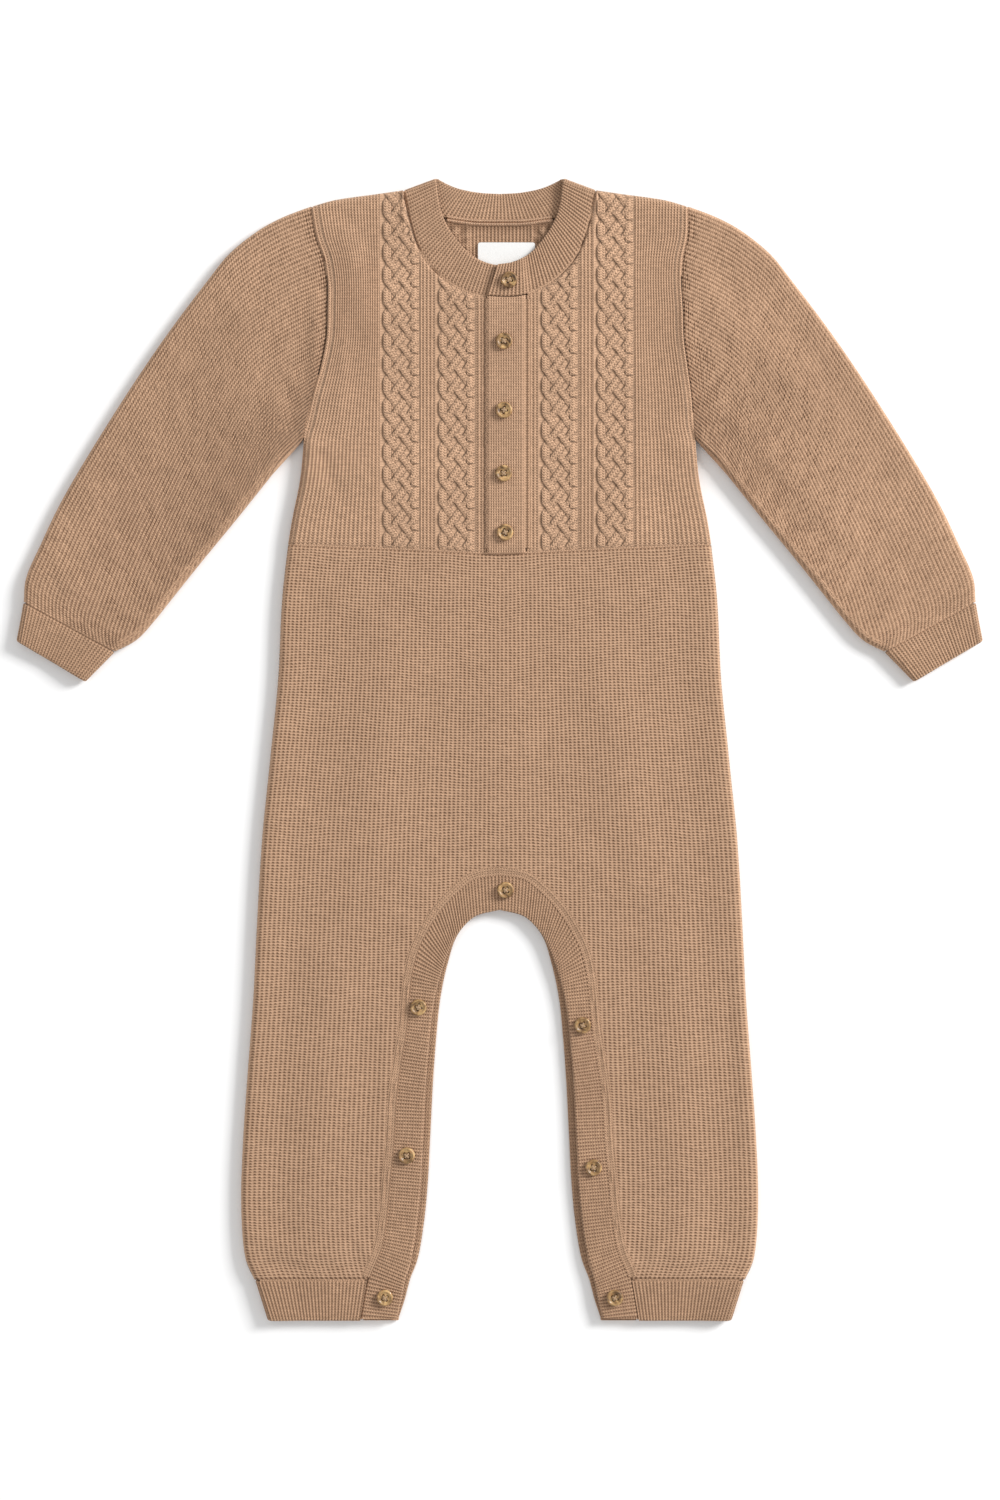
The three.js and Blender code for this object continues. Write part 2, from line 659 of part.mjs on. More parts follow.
// The stations where a strip turns from the front to the back round a fold line between its
// ends a and b. Each end keeps to the line of its own edge, which may differ front and back.
function turnStations(a, b, outward, angles) {
  const facing = (line) => line.x * outward.x + line.y * outward.y;
  const at = (end, degrees, radius) => {
    const angle = THREE.MathUtils.degToRad(degrees);
    const back = turn.outer - radius * Math.cos(angle);
    const front = end.front ?? { x: -outward.x, y: -outward.y };
    const rear = end.rear ?? front;
    const line = {
      x: mix(rear.x, front.x, (Math.sign(degrees) + 1) / 2),
      y: mix(rear.y, front.y, (Math.sign(degrees) + 1) / 2),
    };
    const reach = -back / facing(line);
    return vector(end.x + line.x * reach, end.y + line.y * reach,
      midHeight + radius * Math.sin(angle));
  };
  return angles.map((degrees) => ({
    outerA: at(a, degrees, turn.outer),
    outerB: at(b, degrees, turn.outer),
    innerA: at(a, degrees, turn.inner),
    innerB: at(b, degrees, turn.inner),
  }));
}

const turnAngles = [90, 60, 30, 0, -30, -60, -90];

function settledHeights(distance) {
  const settle = rise * soft(distance, turn.outer, turn.outer + easeLength);
  return {
    outer: 2 * turn.outer - rib.height - settle,
    inner: midHeight + turn.inner - settle,
    fromEdge: distance,
  };
}

// Where the neckband's two ends start, and where each bends into the lap. Its edge is shorter
// than its seam.
const neckLap = {
  over: { seam: -6.4, edge: -0.9, bendFrom: 12, bendTo: 17 },
  under: { seam: -10, edge: -10, bendFrom: 8, bendTo: 13 },
  spacing: 1.5, edgeShare: 0.85,
};

// One side of the front neckband, from its end at the front opening to the shoulder.
function neckFrontStations(side, count, ribbed) {
  const overlaps = side > 0;
  const start = overlaps ? neckLap.over : neckLap.under;
  const cut = (rows, own) => {
    const first = { x: own, y: lookUp(rows, 'x', 'y', Math.max(own, rows[0].x)) };
    return planCurve([first, ...rows.filter((row) => row.x > own + neckLap.spacing)]);
  };
  const seamCurve = cut(neckSeam, start.seam);
  const edgeCurve = cut(neckEdge, start.edge);
  const stations = [];
  for (let k = 0; k <= count; k += 1) {
    const t = k / count;
    const a = seamCurve.getPointAt(t);
    const b = edgeCurve.getPointAt(t);
    const toShoulder = (1 - t) * seamCurve.getLength() * neckLap.edgeShare;
    const heights = settledHeights(Math.max(turn.outer, toShoulder + turn.outer));
    const lapped = 1 - soft((a.x + b.x) / 2, start.bendFrom, start.bendTo);
    if (overlaps) {
      heights.outer += (lap.upperTop - upper.top) * lapped;
      heights.inner += (lap.upperBottom - upper.bottom) * lapped;
    } else {
      heights.outer -= (upper.top - lap.lowerTop) * lapped;
    }
    stations.push(flatStation({ x: side * a.x, y: a.y }, { x: side * b.x, y: b.y }, heights,
      ribbed && k % 2 ? rib.height : 0));
  }
  return stations;
}

function neckTurn(side) {
  const { seam, edge } = neckFoldLine;
  const length = Math.hypot(edge.x - seam.x, edge.y - seam.y);
  const outward = { x: (side * (edge.y - seam.y)) / length, y: (seam.x - edge.x) / length };
  const between = (from, to) => ({ x: side * (to.x - from.x), y: to.y - from.y });
  const end = (at, frontRow, rearRow) => ({
    x: side * at.x,
    y: at.y,
    front: between(at, frontRow),
    rear: between(at, rearRow),
  });
  return turnStations(end(seam, neckSeam.at(-2), backNeckSeam[1]),
    end(edge, neckEdge.at(-2), backNeckEdge[1]), outward, turnAngles);
}

function neckBackStations(count) {
  const seamCurve = planCurve(backNeckSeam);
  const edgeCurve = planCurve(backNeckEdge);
  const half = [];
  for (let k = 1; k <= count; k += 1) {
    half.push({ a: seamCurve.getPointAt(k / count), b: edgeCurve.getPointAt(k / count) });
  }
  const heights = { outer: 0, inner: ply, lifted: 0 };
  const mirrored = (row, side) => flatStation({ x: side * row.a.x, y: row.a.y },
    { x: side * row.b.x, y: row.b.y }, heights);
  return [
    ...half.map((row) => mirrored(row, -1)),
    ...half.slice(0, -1).reverse().map((row) => mirrored(row, 1)),
  ];
}

const neckCounts = { front: 84, plainFront: 22, back: 12 };

function neckband() {
  const assemble = (frontCount, ribbed) => {
    const left = neckFrontStations(-1, frontCount, ribbed);
    const right = neckFrontStations(1, frontCount, ribbed);
    return [
      ...left.slice(0, -2),
      ...neckTurn(-1),
      ...neckBackStations(neckCounts.back).slice(1, -1),
      ...neckTurn(1).reverse(),
      ...right.slice(0, -2).reverse(),
    ];
  };
  return solid(stationFaces(assemble(neckCounts.front, true),
    assemble(neckCounts.plainFront, false)));
}

const legBandCounts = { ribbed: 140, plain: 40, back: 36 };   // stations along one leg

// Leg bands, along the inside of one leg, over the crotch and down the other
function legBand(layer, count, ribbed) {
  const inset = layer === 'upper' ? 1 : 0;
  const nodes = legSeamNodes(layer, seamGap / 2);
  const edgeCurve = planCurve(legEdge.map((row) => ({ x: row.x + inset * row.inset, y: row.y })));
  const hem = layer === 'upper' ? bandHemRow.front : bandHemRow.back;
  const heights = layer === 'upper'
    ? { outer: upper.top - rib.height, inner: upper.bottom }
    : { outer: 0, inner: ply, lifted: 0 };
  const stations = [];
  for (let k = -count; k <= count; k += 1) {
    const t = Math.abs(k) / count;
    const side = Math.sign(k);
    const seam = onNodes(nodes, t);
    const edge = edgeCurve.getPointAt(t);
    const atHem = t === 1;
    const raised = ribbed && (k + count) % 2 ? rib.height : 0;
    stations.push(flatStation({ x: side * seam.x, y: atHem ? hem : seam.y },
      { x: side * edge.x, y: atHem ? hem : edge.y }, heights, raised));
  }
  return stations;
}

const legCuffCounts = { plainFront: 8, back: 4 };

// Leg cuffs: from the front leg band round the outer side to the back leg band
function legCuff(side) {
  const fold = {
    a: { x: legCuffFold.topX, y: cuffSeamY - seamGap / 2 },
    b: { x: legCuffFold.hemX, y: hemY },
  };
  const flat = (layer, count, ribbed) => {
    const [top, bottom] = legSeamNodes(layer, -seamGap / 2).slice(-2).map((node) => node.at.x);
    const stations = [];
    for (let k = 0; k < count; k += 1) {
      const t = k / count;
      const a = { x: side * mix(top, fold.a.x - turn.outer, t), y: fold.a.y };
      const b = { x: side * mix(bottom, fold.b.x - turn.outer, t), y: fold.b.y };
      const heights = layer === 'upper'
        ? settledHeights((1 - t) * (fold.a.x - top) + turn.outer)
        : { outer: 0, inner: ply, lifted: 0 };
      stations.push(flatStation(a, b, heights, ribbed && k % 2 ? rib.height : 0));
    }
    return stations;
  };
  const mirror = (p) => ({ x: side * p.x, y: p.y });
  const around = turnStations(mirror(fold.a), mirror(fold.b), { x: side, y: 0 }, turnAngles);
  const ribCount = 2 * Math.round((fold.a.x - legSeam.at(-1).x) / rib.pitch);
  const under = flat('lower', legCuffCounts.back, false).reverse();
  const outer = [...flat('upper', ribCount, true), ...around, ...under];
  const inner = [...flat('upper', legCuffCounts.plainFront, false), ...around, ...under];
  return solid(stationFaces(outer, inner));
}

// Sleeves and their cuffs are tubes. A lane runs along the tube at its own place round it.
function ringLanes(edges, upperShares, lowerShares) {
  const inset = edges.filter((edge) => edge > 0);
  const lane = (layer, extra) => ({ layer, ...extra });
  return [
    lane('upper', { fromOuter: edges[0] }),
    ...inset.map((edge) => lane('upper', { fromOuter: edge })),
    ...upperShares.map((share) => lane('upper', { share })),
    ...inset.slice().reverse().map((edge) => lane('upper', { fromUnder: edge })),
    lane('upper', { fromUnder: edges[0] }),
    ...inset.map((edge) => lane('lower', { fromUnder: edge })),
    ...lowerShares.map((share) => lane('lower', { share: 1 - share })),
    ...inset.slice().reverse().map((edge) => lane('lower', { fromOuter: edge })),
  ];
}

// Both faces of a tube at a lane and a chord across it, from its outer to its under edge.
function ringPoint(lane, chord, side) {
  const width = chord.outer.distanceTo(chord.under);
  let t;
  if (lane.fromOuter !== undefined) {
    t = lane.fromOuter / width;
  } else if (lane.fromUnder !== undefined) {
    t = 1 - lane.fromUnder / width;
  } else {
    t = mix(turn.outer / width, 1 - turn.outer / width, lane.share);
  }
  const plan = chord.at(t);
  const distance = Math.min(t, 1 - t) * width;
  const toMiddle = chord.under.clone().sub(chord.outer).normalize()
    .multiplyScalar(t < 0.5 ? 1 : -1);
  const place = {
    x: side * plan.x,
    y: plan.y,
    distance,
    turned: 1,
    inward: { x: side * toMiddle.x, y: toMiddle.y },
  };
  const faces = skin(place, lane.layer);
  if (distance < 1e-6) {
    faces.outer.z = midHeight;
    faces.inner.z = midHeight;
  }
  return faces;
}

const sleeveChords = { count: 12, crowding: 1.15, alongArmhole: 0.3 };
const sleeveShares = {
  outside: { upper: [0.15, 0.3, 0.45, 0.6, 0.75, 0.88], lower: [0.25, 0.5, 0.75] },
  inside: { upper: [0.2, 0.4, 0.6, 0.8], lower: [0.33, 0.67] },
};

function sleeve(side) {
  const outerCurve = planCurve(sleeveOuter);
  const underCurve = planCurve(sleeveUnder);
  const { count, crowding, alongArmhole } = sleeveChords;
  const top = armhole[0];
  const bottom = armhole.at(-1);
  const chords = [];
  for (let k = 0; k <= count; k += 1) {
    const s = (k / count) ** crowding;
    const outer = outerCurve.getPointAt(s);
    const under = underCurve.getPointAt(s);
    const along = under.clone().sub(outer).normalize();
    const gap = k === 0 ? clearance.armhole / 2 : -seamGap / 2;
    if (k === 0 || k === count) {
      const move = vector(-along.y * gap, along.x * gap, 0);
      outer.add(move);
      under.add(move);
    }
    const bend = 1 - soft(s, 0, alongArmhole);
    const at = (t) => {
      const plan = outer.clone().lerp(under, t);
      const y = mix(top.y, bottom.y, t);
      const straight = mix(top.x, bottom.x, t);
      plan.x += (armholeX(side, y) - straight) * bend;
      return plan;
    };
    chords.push({ outer, under, at });
  }
  const { outside, inside } = sleeveShares;
  const outerLanes = ringLanes(edgeSteps, outside.upper, outside.lower);
  const innerLanes = ringLanes([0, turn.outer], inside.upper, inside.lower);
  const lines = (lanes, key) => lanes.map((lane) => chords.map(
    (chord) => ringPoint(lane, chord, side)[key]));
  return solid(tubeFaces(lines(outerLanes, 'outer'), lines(innerLanes, 'inner')));
}

function sleeveCuff(side) {
  const seam = {
    outer: vector(sleeveOuter.at(-1).x, sleeveOuter.at(-1).y, 0),
    under: vector(sleeveUnder.at(-1).x, sleeveUnder.at(-1).y, 0),
  };
  const hem = {
    outer: vector(cuffHem.outer.x, cuffHem.outer.y, 0),
    under: vector(cuffHem.under.x, cuffHem.under.y, 0),
  };
  const down = hem.outer.clone().sub(seam.outer).normalize().multiplyScalar(seamGap / 2);
  const chords = [seam, hem].map(({ outer, under }, k) => {
    const from = k === 0 ? outer.clone().add(down) : outer;
    const to = k === 0 ? under.clone().add(down) : under;
    return { outer: from, under: to, at: (t) => from.clone().lerp(to, t) };
  });
  const flatWidth = chords[1].outer.distanceTo(chords[1].under) - 2 * turn.outer;
  const ribCount = 2 * Math.round(flatWidth / rib.pitch);
  const shares = Array.from({ length: ribCount - 1 }, (_, k) => (k + 1) / ribCount);
  const outerLanes = ringLanes(edgeSteps, shares, [0.5]);
  const innerLanes = ringLanes([0, turn.outer], [0.25, 0.5, 0.75], [0.5]);
  const outer = outerLanes.map((lane) => chords.map((chord) => {
    const point = ringPoint(lane, chord, side).outer;
    const crest = Math.round((lane.share ?? 0) * ribCount) % 2;
    point.z -= lane.layer === 'upper' && lane.share !== undefined && !crest ? rib.height : 0;
    return point;
  }));
  const inner = innerLanes.map((lane) => chords.map(
    (chord) => ringPoint(lane, chord, side).inner));
  return solid(tubeFaces(outer, inner));
}

// The two lapped bands of the front opening, with ribs along them
function placketBand(lanes) {
  const rowShares = [0, 0.25, 0.5, 0.75, 1];
  const line = (x, height, raised) => rowShares.map((share) => {
    const low = lookUp(waist, 'x', 'y', Math.abs(x)) + seamGap / 2;
    const y = mix(low, lookUp(neckSeam, 'x', 'y', x) - seamGap, share);
    return vector(x, y, height + raised + lift(x, y, inland));
  });
  const outer = lanes.map((lane) => line(lane.x, lane.top, lane.raised));
  const inner = lanes.filter((lane) => lane.plain).map((lane) => line(lane.x, lane.bottom, 0));
  return solid(wallFaces(outer, inner));
}

const placketPlain = { every: 4, atEnd: 4 };   // which lanes the plain inside shares

function placketLanes(from, to, heightAt) {
  const count = 2 * Math.round((to - from) / rib.pitch);
  return Array.from({ length: count + 1 }, (_, k) => {
    const x = mix(from, to, k / count);
    const { top, bottom } = heightAt(x);
    const plain = k % placketPlain.every === 0 || k >= count - placketPlain.atEnd;
    return { x, top: top - rib.height, bottom, raised: k % 2 ? rib.height : 0, plain };
  });
}

function placketTop() {
  return placketBand(placketLanes(placket.left, placket.right, (x) => {
    const over = 1 - soft(x, placket.rampStart, placket.right);
    return {
      top: mix(upper.top, lap.upperTop, over),
      bottom: mix(upper.bottom, lap.upperBottom, over),
    };
  }));
}

function placketUnder() {
  return placketBand(placketLanes(placket.left, placket.underRight,
    () => ({ top: lap.lowerTop, bottom: upper.bottom })));
}

// Labels lie on the inside of the back
function labelSolid({ left, right, top, bottom, base, thickness }) {
  const geometry = new THREE.BoxGeometry(right - left, top - bottom, thickness);
  geometry.translate((left + right) / 2, (top + bottom) / 2, base + thickness / 2);
  return geometry;
}

// Four-hole button: a turned blank with a rim round a shallow dish, then drilled
function toManifold(geometry) {
  const bare = geometry.clone();
  bare.deleteAttribute('normal');
  bare.deleteAttribute('uv');
  const whole = mergeVertices(bare, 1e-4);
  return new wasm.Manifold(new wasm.Mesh({
    numProp: 3,
    vertProperties: new Float32Array(whole.attributes.position.array),
    triVerts: new Uint32Array(whole.index.array),
  }));
}

function fromManifold(manifold) {
  const mesh = manifold.getMesh();
  const geometry = new THREE.BufferGeometry();
  geometry.setAttribute('position', new THREE.BufferAttribute(mesh.vertProperties, 3));
  geometry.setIndex(new THREE.BufferAttribute(mesh.triVerts, 1));
  geometry.computeVertexNormals();
  return geometry;
}

function buttonSolid() {
  const { radius, thickness, rim, dish, edge, sides, hole, holeReach, holeSides } = button;
  const profile = [
    [0, 0],
    [radius - edge, 0],
    [radius, edge],
    [radius - edge / 2, thickness],
    [radius - rim, thickness],
    [radius - 2 * rim, thickness - dish],
    [0, thickness - dish],
  ].map(([x, y]) => new THREE.Vector2(x, y));
  const blank = new THREE.LatheGeometry(profile, sides);
  blank.rotateX(Math.PI / 2);
  let drilled = toManifold(blank);
  for (const [x, y] of [[1, 1], [-1, 1], [-1, -1], [1, -1]]) {
    const drill = new THREE.CylinderGeometry(hole, hole, 3 * thickness, holeSides);
    drill.rotateX(Math.PI / 2);
    drill.translate(x * holeReach, y * holeReach, thickness / 2);
    drilled = drilled.subtract(toManifold(drill));
  }
  return fromManifold(drilled);
}

// Assembly
const group = new THREE.Group();

function material(colour, roughness) {
  return new THREE.MeshStandardMaterial({ color: colour, roughness, metalness: 0 });
}

function add(name, geometry, finish) {
  const mesh = new THREE.Mesh(geometry, finish);
  mesh.name = name;
  group.add(mesh);
  return mesh;
}

const knit = material(colours.knit, 0.95);
const knitBands = material(colours.knitBands, 0.95);
const labelCloth = material(colours.label, 0.8);
const horn = material(colours.button, 0.35);

add('back_yoke', backYoke(), knit);
add('back_body', body('lower'), knit);
add('front_body', body('upper'), knit);
for (const side of [-1, 1]) {
  add(`front_yoke_${sideName(side)}`, frontYoke(side), knit);
  add(`sleeve_${sideName(side)}`, sleeve(side), knit);
  add(`sleeve_cuff_${sideName(side)}`, sleeveCuff(side), knitBands);
  add(`leg_cuff_${sideName(side)}`, legCuff(side), knitBands);
}
add('neckband', neckband(), knitBands);
add('placket_top', placketTop(), knitBands);
add('placket_under', placketUnder(), knitBands);
add('leg_band_front', solid(stationFaces(legBand('upper', legBandCounts.ribbed, true),
  legBand('upper', legBandCounts.plain, false))), knitBands);
add('leg_band_back', solid(stationFaces(legBand('lower', legBandCounts.back, false),
  legBand('lower', legBandCounts.back, false))), knitBands);
add('neck_label', labelSolid(label), labelCloth);
add('size_tag', labelSolid(sizeTag), labelCloth);

const buttonShape = buttonSolid();
for (const { name, x, y, on } of buttons) {
  const seat = (on === 'lap' ? lap.upperTop : upper.top) + lift(x, y, inland) + button.seat;
  add(name, buttonShape.clone(), horn).position.set(x, y, seat);
}

export default group;
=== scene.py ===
"""Baby romper in cable and rib knit, buttoned and laid out flat on its back.

Sizes are in millimetres, as on the garment, and MM turns them into metres. The neck points
along +Y and the front faces up. "left" is the side of -X. A half table holds one side.
"""
import math
from functools import partial

import bmesh
import bpy
import numpy as np
from mathutils.bvhtree import BVHTree
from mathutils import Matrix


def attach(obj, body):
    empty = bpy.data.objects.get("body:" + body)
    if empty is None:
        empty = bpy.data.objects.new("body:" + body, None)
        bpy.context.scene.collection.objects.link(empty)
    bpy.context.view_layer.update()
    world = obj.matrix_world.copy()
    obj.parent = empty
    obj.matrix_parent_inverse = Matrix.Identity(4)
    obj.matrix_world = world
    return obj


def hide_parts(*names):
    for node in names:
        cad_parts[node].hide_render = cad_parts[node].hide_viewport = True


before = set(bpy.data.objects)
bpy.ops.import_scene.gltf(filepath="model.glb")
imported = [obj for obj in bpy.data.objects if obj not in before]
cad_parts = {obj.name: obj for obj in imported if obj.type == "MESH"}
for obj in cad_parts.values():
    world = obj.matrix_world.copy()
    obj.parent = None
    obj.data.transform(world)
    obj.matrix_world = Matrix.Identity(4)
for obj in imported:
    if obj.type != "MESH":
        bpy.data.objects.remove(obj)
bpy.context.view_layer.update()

MM = 0.001
SIDE_NAME = {-1: "left", 1: "right"}

# How deep each pit of the knit is, by wale and course
CELL_DEPTHS = np.random.default_rng(7).uniform(0.7, 1.35, (128, 512))


def table(columns, *rows):
    """A short table as one array for each named column."""
    values = np.array(rows, dtype=float)
    return {name: values[:, k] for k, name in enumerate(columns.split())}


# Driving sizes of the cloth, the same as in the frame's solids
SEAM_GAP = 0.4
PLY = 2.2
TURN_OUTER = 3.4
TURN_INNER = 1.2
MID_HEIGHT = TURN_OUTER
UPPER_BOTTOM = 2.6
UPPER_TOP = 4.8
EASE_LENGTH = 22
RISE = 2 * TURN_OUTER - UPPER_TOP
PUFF = 0.9
PUFF_START = 4
INLAND = 1000
LAP = {"lower_top": 4.4, "upper_bottom": 4.8, "upper_top": 6.7}
NECK_CLEARANCE = 0.8
ARMHOLE_CLEARANCE = 0.75

# The knit: width of a wale (a column of stitches) and height of a course (a row of stitches)
PIT_WALE = 2.3
YOKE_RIB = 2.0
BAND_RIB = 1.85
PLACKET_RIB = 1.36
COURSE = 1.43
CABLE = {
    "width": 22, "from": 1.7, "to": 21.7, "strand": 4.4, "period": 12.2, "height": 0.95,
    "phase": 120.5, "half": 2.4, "tuck": 0.4, "tilt": 0.07,
}
CABLE_OFFSETS = (6, 36.5)
YOKE_FRONT = {-1: -7.3, 1: 15.3}
PLACKET = {"left": -6.9, "right": 14.9, "under_right": 11.6, "ramp_start": 12.3}

# Outlines, each for one half, from the top down
SHOULDER = table("x y", (53, 307.6), (67.4, 305.5), (90.5, 302.2), (103.3, 298.6))
ARMHOLE = table(
    "x y",
    (103.3, 298.6), (101.6, 282), (98.4, 270), (97.2, 257.5), (97.6, 243),
    (98.2, 226), (101, 209), (104, 194), (105.8, 182), (107.6, 170),
)
ARMHOLE_SHIFT = {-1: -3, 1: 3, "from": 176, "to": 296}
YOKE_SIDE = table("x y", (107.6, 170), (109.8, 148.2), (114.2, 126.2), (116.4, 112.6))
BODY_SIDE = table(
    "x y",
    (116.4, 112.6), (119.7, 82.2), (121.9, 38.2), (126.3, -5.8), (130.7, -49.8),
    (133.4, -93.8), (135.6, -137.8), (138.9, -181.8), (141.7, -225.8), (142.1, -255),
    (140, -279), (135, -291.6),
)
WAIST = table("x y", (0, 107.4), (45, 109.6), (117, 112.6))
NECK_SEAM = table(
    "x y",
    (-10, 249.6), (0, 249), (12, 249.6), (24, 254.6), (33, 261), (41, 270),
    (46, 280), (49.2, 291), (51, 300), (53, 307.6),
)
NECK_EDGE = table(
    "x y",
    (-10, 269), (0, 266.4), (8, 268), (16, 272.4), (24, 281), (30, 290.5),
    (33, 299.5), (35, 314.3),
)
BACK_NECK_SEAM = table("x y", (53, 307.6), (40, 297), (28.4, 291.8), (14, 290), (0, 289.7))
BACK_NECK_EDGE = table("x y", (35, 314.3), (24, 309.4), (12, 306.8), (0, 306))
SLEEVE_OUTER = table(
    "x y",
    (103.3, 298.6), (112, 295.6), (120.2, 292.3), (132.3, 285.7), (148.8, 272.5),
    (160.4, 258.2), (185.1, 225.2), (214.3, 181.2), (240.7, 137.2), (252.4, 113),
    (260.6, 94), (261.9, 81.1),
)
SLEEVE_UNDER = table(
    "x y",
    (107.6, 170), (118.6, 159.2), (127.4, 148.2), (145, 126.2), (163.1, 104.2),
    (180.7, 82.2), (189.5, 71.2), (199.5, 60.4), (211.6, 53.7),
)
CUFF_HEM = {"outer": (265.9, 59.7), "under": (227.8, 37.1)}
LEG_SEAM = table(
    "x y",
    (0, -68.2), (14, -70.6), (24.2, -78.3), (33.2, -88.2), (40.4, -99.3), (45.6, -110),
    (48.8, -122.5), (50.4, -136), (52, -153.7), (54.8, -171), (57.6, -192), (58.8, -214),
    (60.8, -234.6), (62.8, -256), (65.8, -274), (72.6, -291.6), (76.5, -313),
)
LEG_EDGE = table(
    "x y inset",
    (0, -88.2, 0), (13.5, -91.9, 0), (21.2, -99.3, 0.2), (25, -106, 0.8),
    (28.2, -116.5, 1.8), (31, -128, 2.6), (33.2, -141, 3.2), (35, -159.8, 3.6),
    (36.6, -181.8, 3.8), (38.3, -214.8, 3.8), (39.5, -238, 3.8), (41.6, -260, 3.8),
    (45.2, -280.8, 3.4), (49.3, -291.8, 2.6), (52.2, -302.8, 1.8), (55.6, -313, 1),
)
CUFF_SEAM_Y = -291.6
HEM_Y = -314.1
LEG_CUFF_FOLD = {"top": 134.6, "hem": 127.6}
BAND_HEM_Y = {"front": -312.8, "back": -314.3}

# Buttons, at their places on the bands. "turn" is how far each happens to be turned.
BUTTONS = (
    ("button_neck", 5.2, 257.7, "lap", 20),
    ("button_placket_1", 2.4, 224.1, "lap", -8),
    ("button_placket_2", 2.4, 186.2, "lap", 35),
    ("button_placket_3", 2.2, 151.5, "lap", 5),
    ("button_placket_4", 3.0, 119.1, "lap", -24),
    ("button_crotch", 3.3, -77.2, "band", 8),
    ("button_leg_left_1", -44.6, -141.6, "band", 30),
    ("button_leg_left_2", -51, -223, "band", 4),
    ("button_leg_left_3", -63, -301.1, "band", -14),
    ("button_leg_right_1", 45.6, -151.5, "band", 24),
    ("button_leg_right_2", 51.6, -229.6, "band", -10),
    ("button_leg_right_3", 63.2, -301.1, "band", 16),
)

# Soft ridges of the front, each along a line between two points, as in the frame's solids
FOLDS = table(
    "x0 y0 x1 y1 height spread",
    (-84, 282, -74, 236, 1.1, 7), (-100, 196, -99, 246, 1.3, 4.5),
    (103, 190, 102, 240, 1, 4.5), (-104, 140, -70, 156, 0.8, 8),
    (106, 144, 74, 160, 0.8, 8), (-92, 84, 92, 84, 0.7, 12),
    (-60, 60, -74, -60, 0.8, 16), (58, 50, 78, -70, 0.9, 16),
    (0, 40, 0, -48, 0.6, 18), (-92, -120, -102, -262, 1.2, 16),
    (94, -112, 102, -262, 1.1, 16), (-88, -276, -124, -276, 0.9, 7),
    (88, -276, 124, -276, 0.9, 7), (-122, 186, -190, 118, 0.7, 8),
    (122, 186, 190, 118, 0.7, 8), (-114, 246, -196, 172, 0.8, 12),
    (114, 246, 196, 172, 0.8, 12), (-204, 74, -248, 100, 0.9, 7),
    (204, 74, 248, 100, 0.9, 7),
)

# Finer creases of the front. Troughs have a height below 0. Each fades out at its ends.
CREASES = table(
    "x0 y0 x1 y1 height spread",
    (-85, 240, -88, 176, 0.6, 4), (-96.5, 262, -99, 186, -0.9, 3.2),
    (-100, 166, -88, 138, -0.9, 4), (-92, 172, -74, 150, 0.4, 4.5),
    (-98, 296, -76, 288, -0.5, 3.5), (-70, 283, -78, 262, -0.3, 4),
    (109, 214, 106, 150, -0.8, 3.6), (100, 236, 97, 180, 0.4, 4),
    (84, 246, 87, 136, -0.35, 5), (96, 292, 78, 286, -0.35, 4),
    (102, 258, 92, 262, -0.5, 2.6), (-104, 80, -78, 68, -0.4, 6),
    (-96, -4, -74, -14, -0.35, 6), (-40, 92, -12, 96, -0.3, 5),
    (36, 78, 72, 72, -0.25, 6), (-32, -58, 30, -60, -0.45, 5),
    (-58, -70, -34, -50, 0.35, 6), (60, -74, 34, -50, 0.35, 6),
    (92, -52, 120, -62, -0.3, 6), (-120, 20, -96, 8, -0.3, 7),
    (124, -122, 130, -226, -0.5, 4.5), (-62, -150, -64, -212, 0.5, 4),
    (-70, -238, -78, -262, -0.4, 4.5), (-84, -262, -68, -283, 0.45, 3.6),
    (-110, -268, -132, -256, -0.4, 5), (108, -284, 132, -262, -0.5, 4.5),
    (62, -266, 76, -288, 0.5, 4), (92, -270, 88, -288, -0.35, 4),
    (-128, -282, -104, -287, -0.4, 4), (66, -120, 62, -176, 0.3, 5),
    (-112, 262, -128, 246, -0.4, 4.5), (-132, 262, -150, 232, 0.35, 6),
    (116, 266, 134, 244, -0.35, 5), (-160, 190, -186, 154, -0.35, 7),
    (-206, 140, -226, 112, -0.35, 6), (-140, 152, -178, 112, 0.35, 6),
    (-228, 96, -214, 70, -0.4, 5), (-246, 112, -236, 84, 0.35, 5),
    (150, 216, 186, 164, 0.35, 8), (200, 132, 226, 96, -0.35, 7),
    (140, 148, 176, 106, -0.3, 6), (234, 98, 222, 70, -0.35, 5),
    (-117, 200, -112, 168, -0.45, 4), (118, 202, 113, 170, -0.45, 4),
)


def soft(value, start, end):
    """0 before start and 1 after end, with a smooth step between them."""
    t = np.clip((value - start) / (end - start), 0, 1)
    return t * t * (3 - 2 * t)


def mix(a, b, t):
    return a + (b - a) * t


def look_up(rows, place, column, value):
    """A column of a table at a place between its rows, on a smooth curve through them."""
    order = np.argsort(rows[place])
    at, of = rows[place][order], rows[column][order]
    before = np.maximum(np.arange(len(at)) - 1, 0)
    after = np.minimum(np.arange(len(at)) + 1, len(at) - 1)
    slope = (of[after] - of[before]) / (at[after] - at[before])
    value = np.asarray(value, dtype=float)
    k = np.clip(np.searchsorted(at, value) - 1, 0, len(at) - 2)
    span = at[k + 1] - at[k]
    t = np.clip((value - at[k]) / span, 0, 1)
    t2, t3 = t * t, t * t * t
    return (
        (2 * t3 - 3 * t2 + 1) * of[k] + (t3 - 2 * t2 + t) * span * slope[k]
        + (3 * t2 - 2 * t3) * of[k + 1] + (t3 - t2) * span * slope[k + 1]
    )


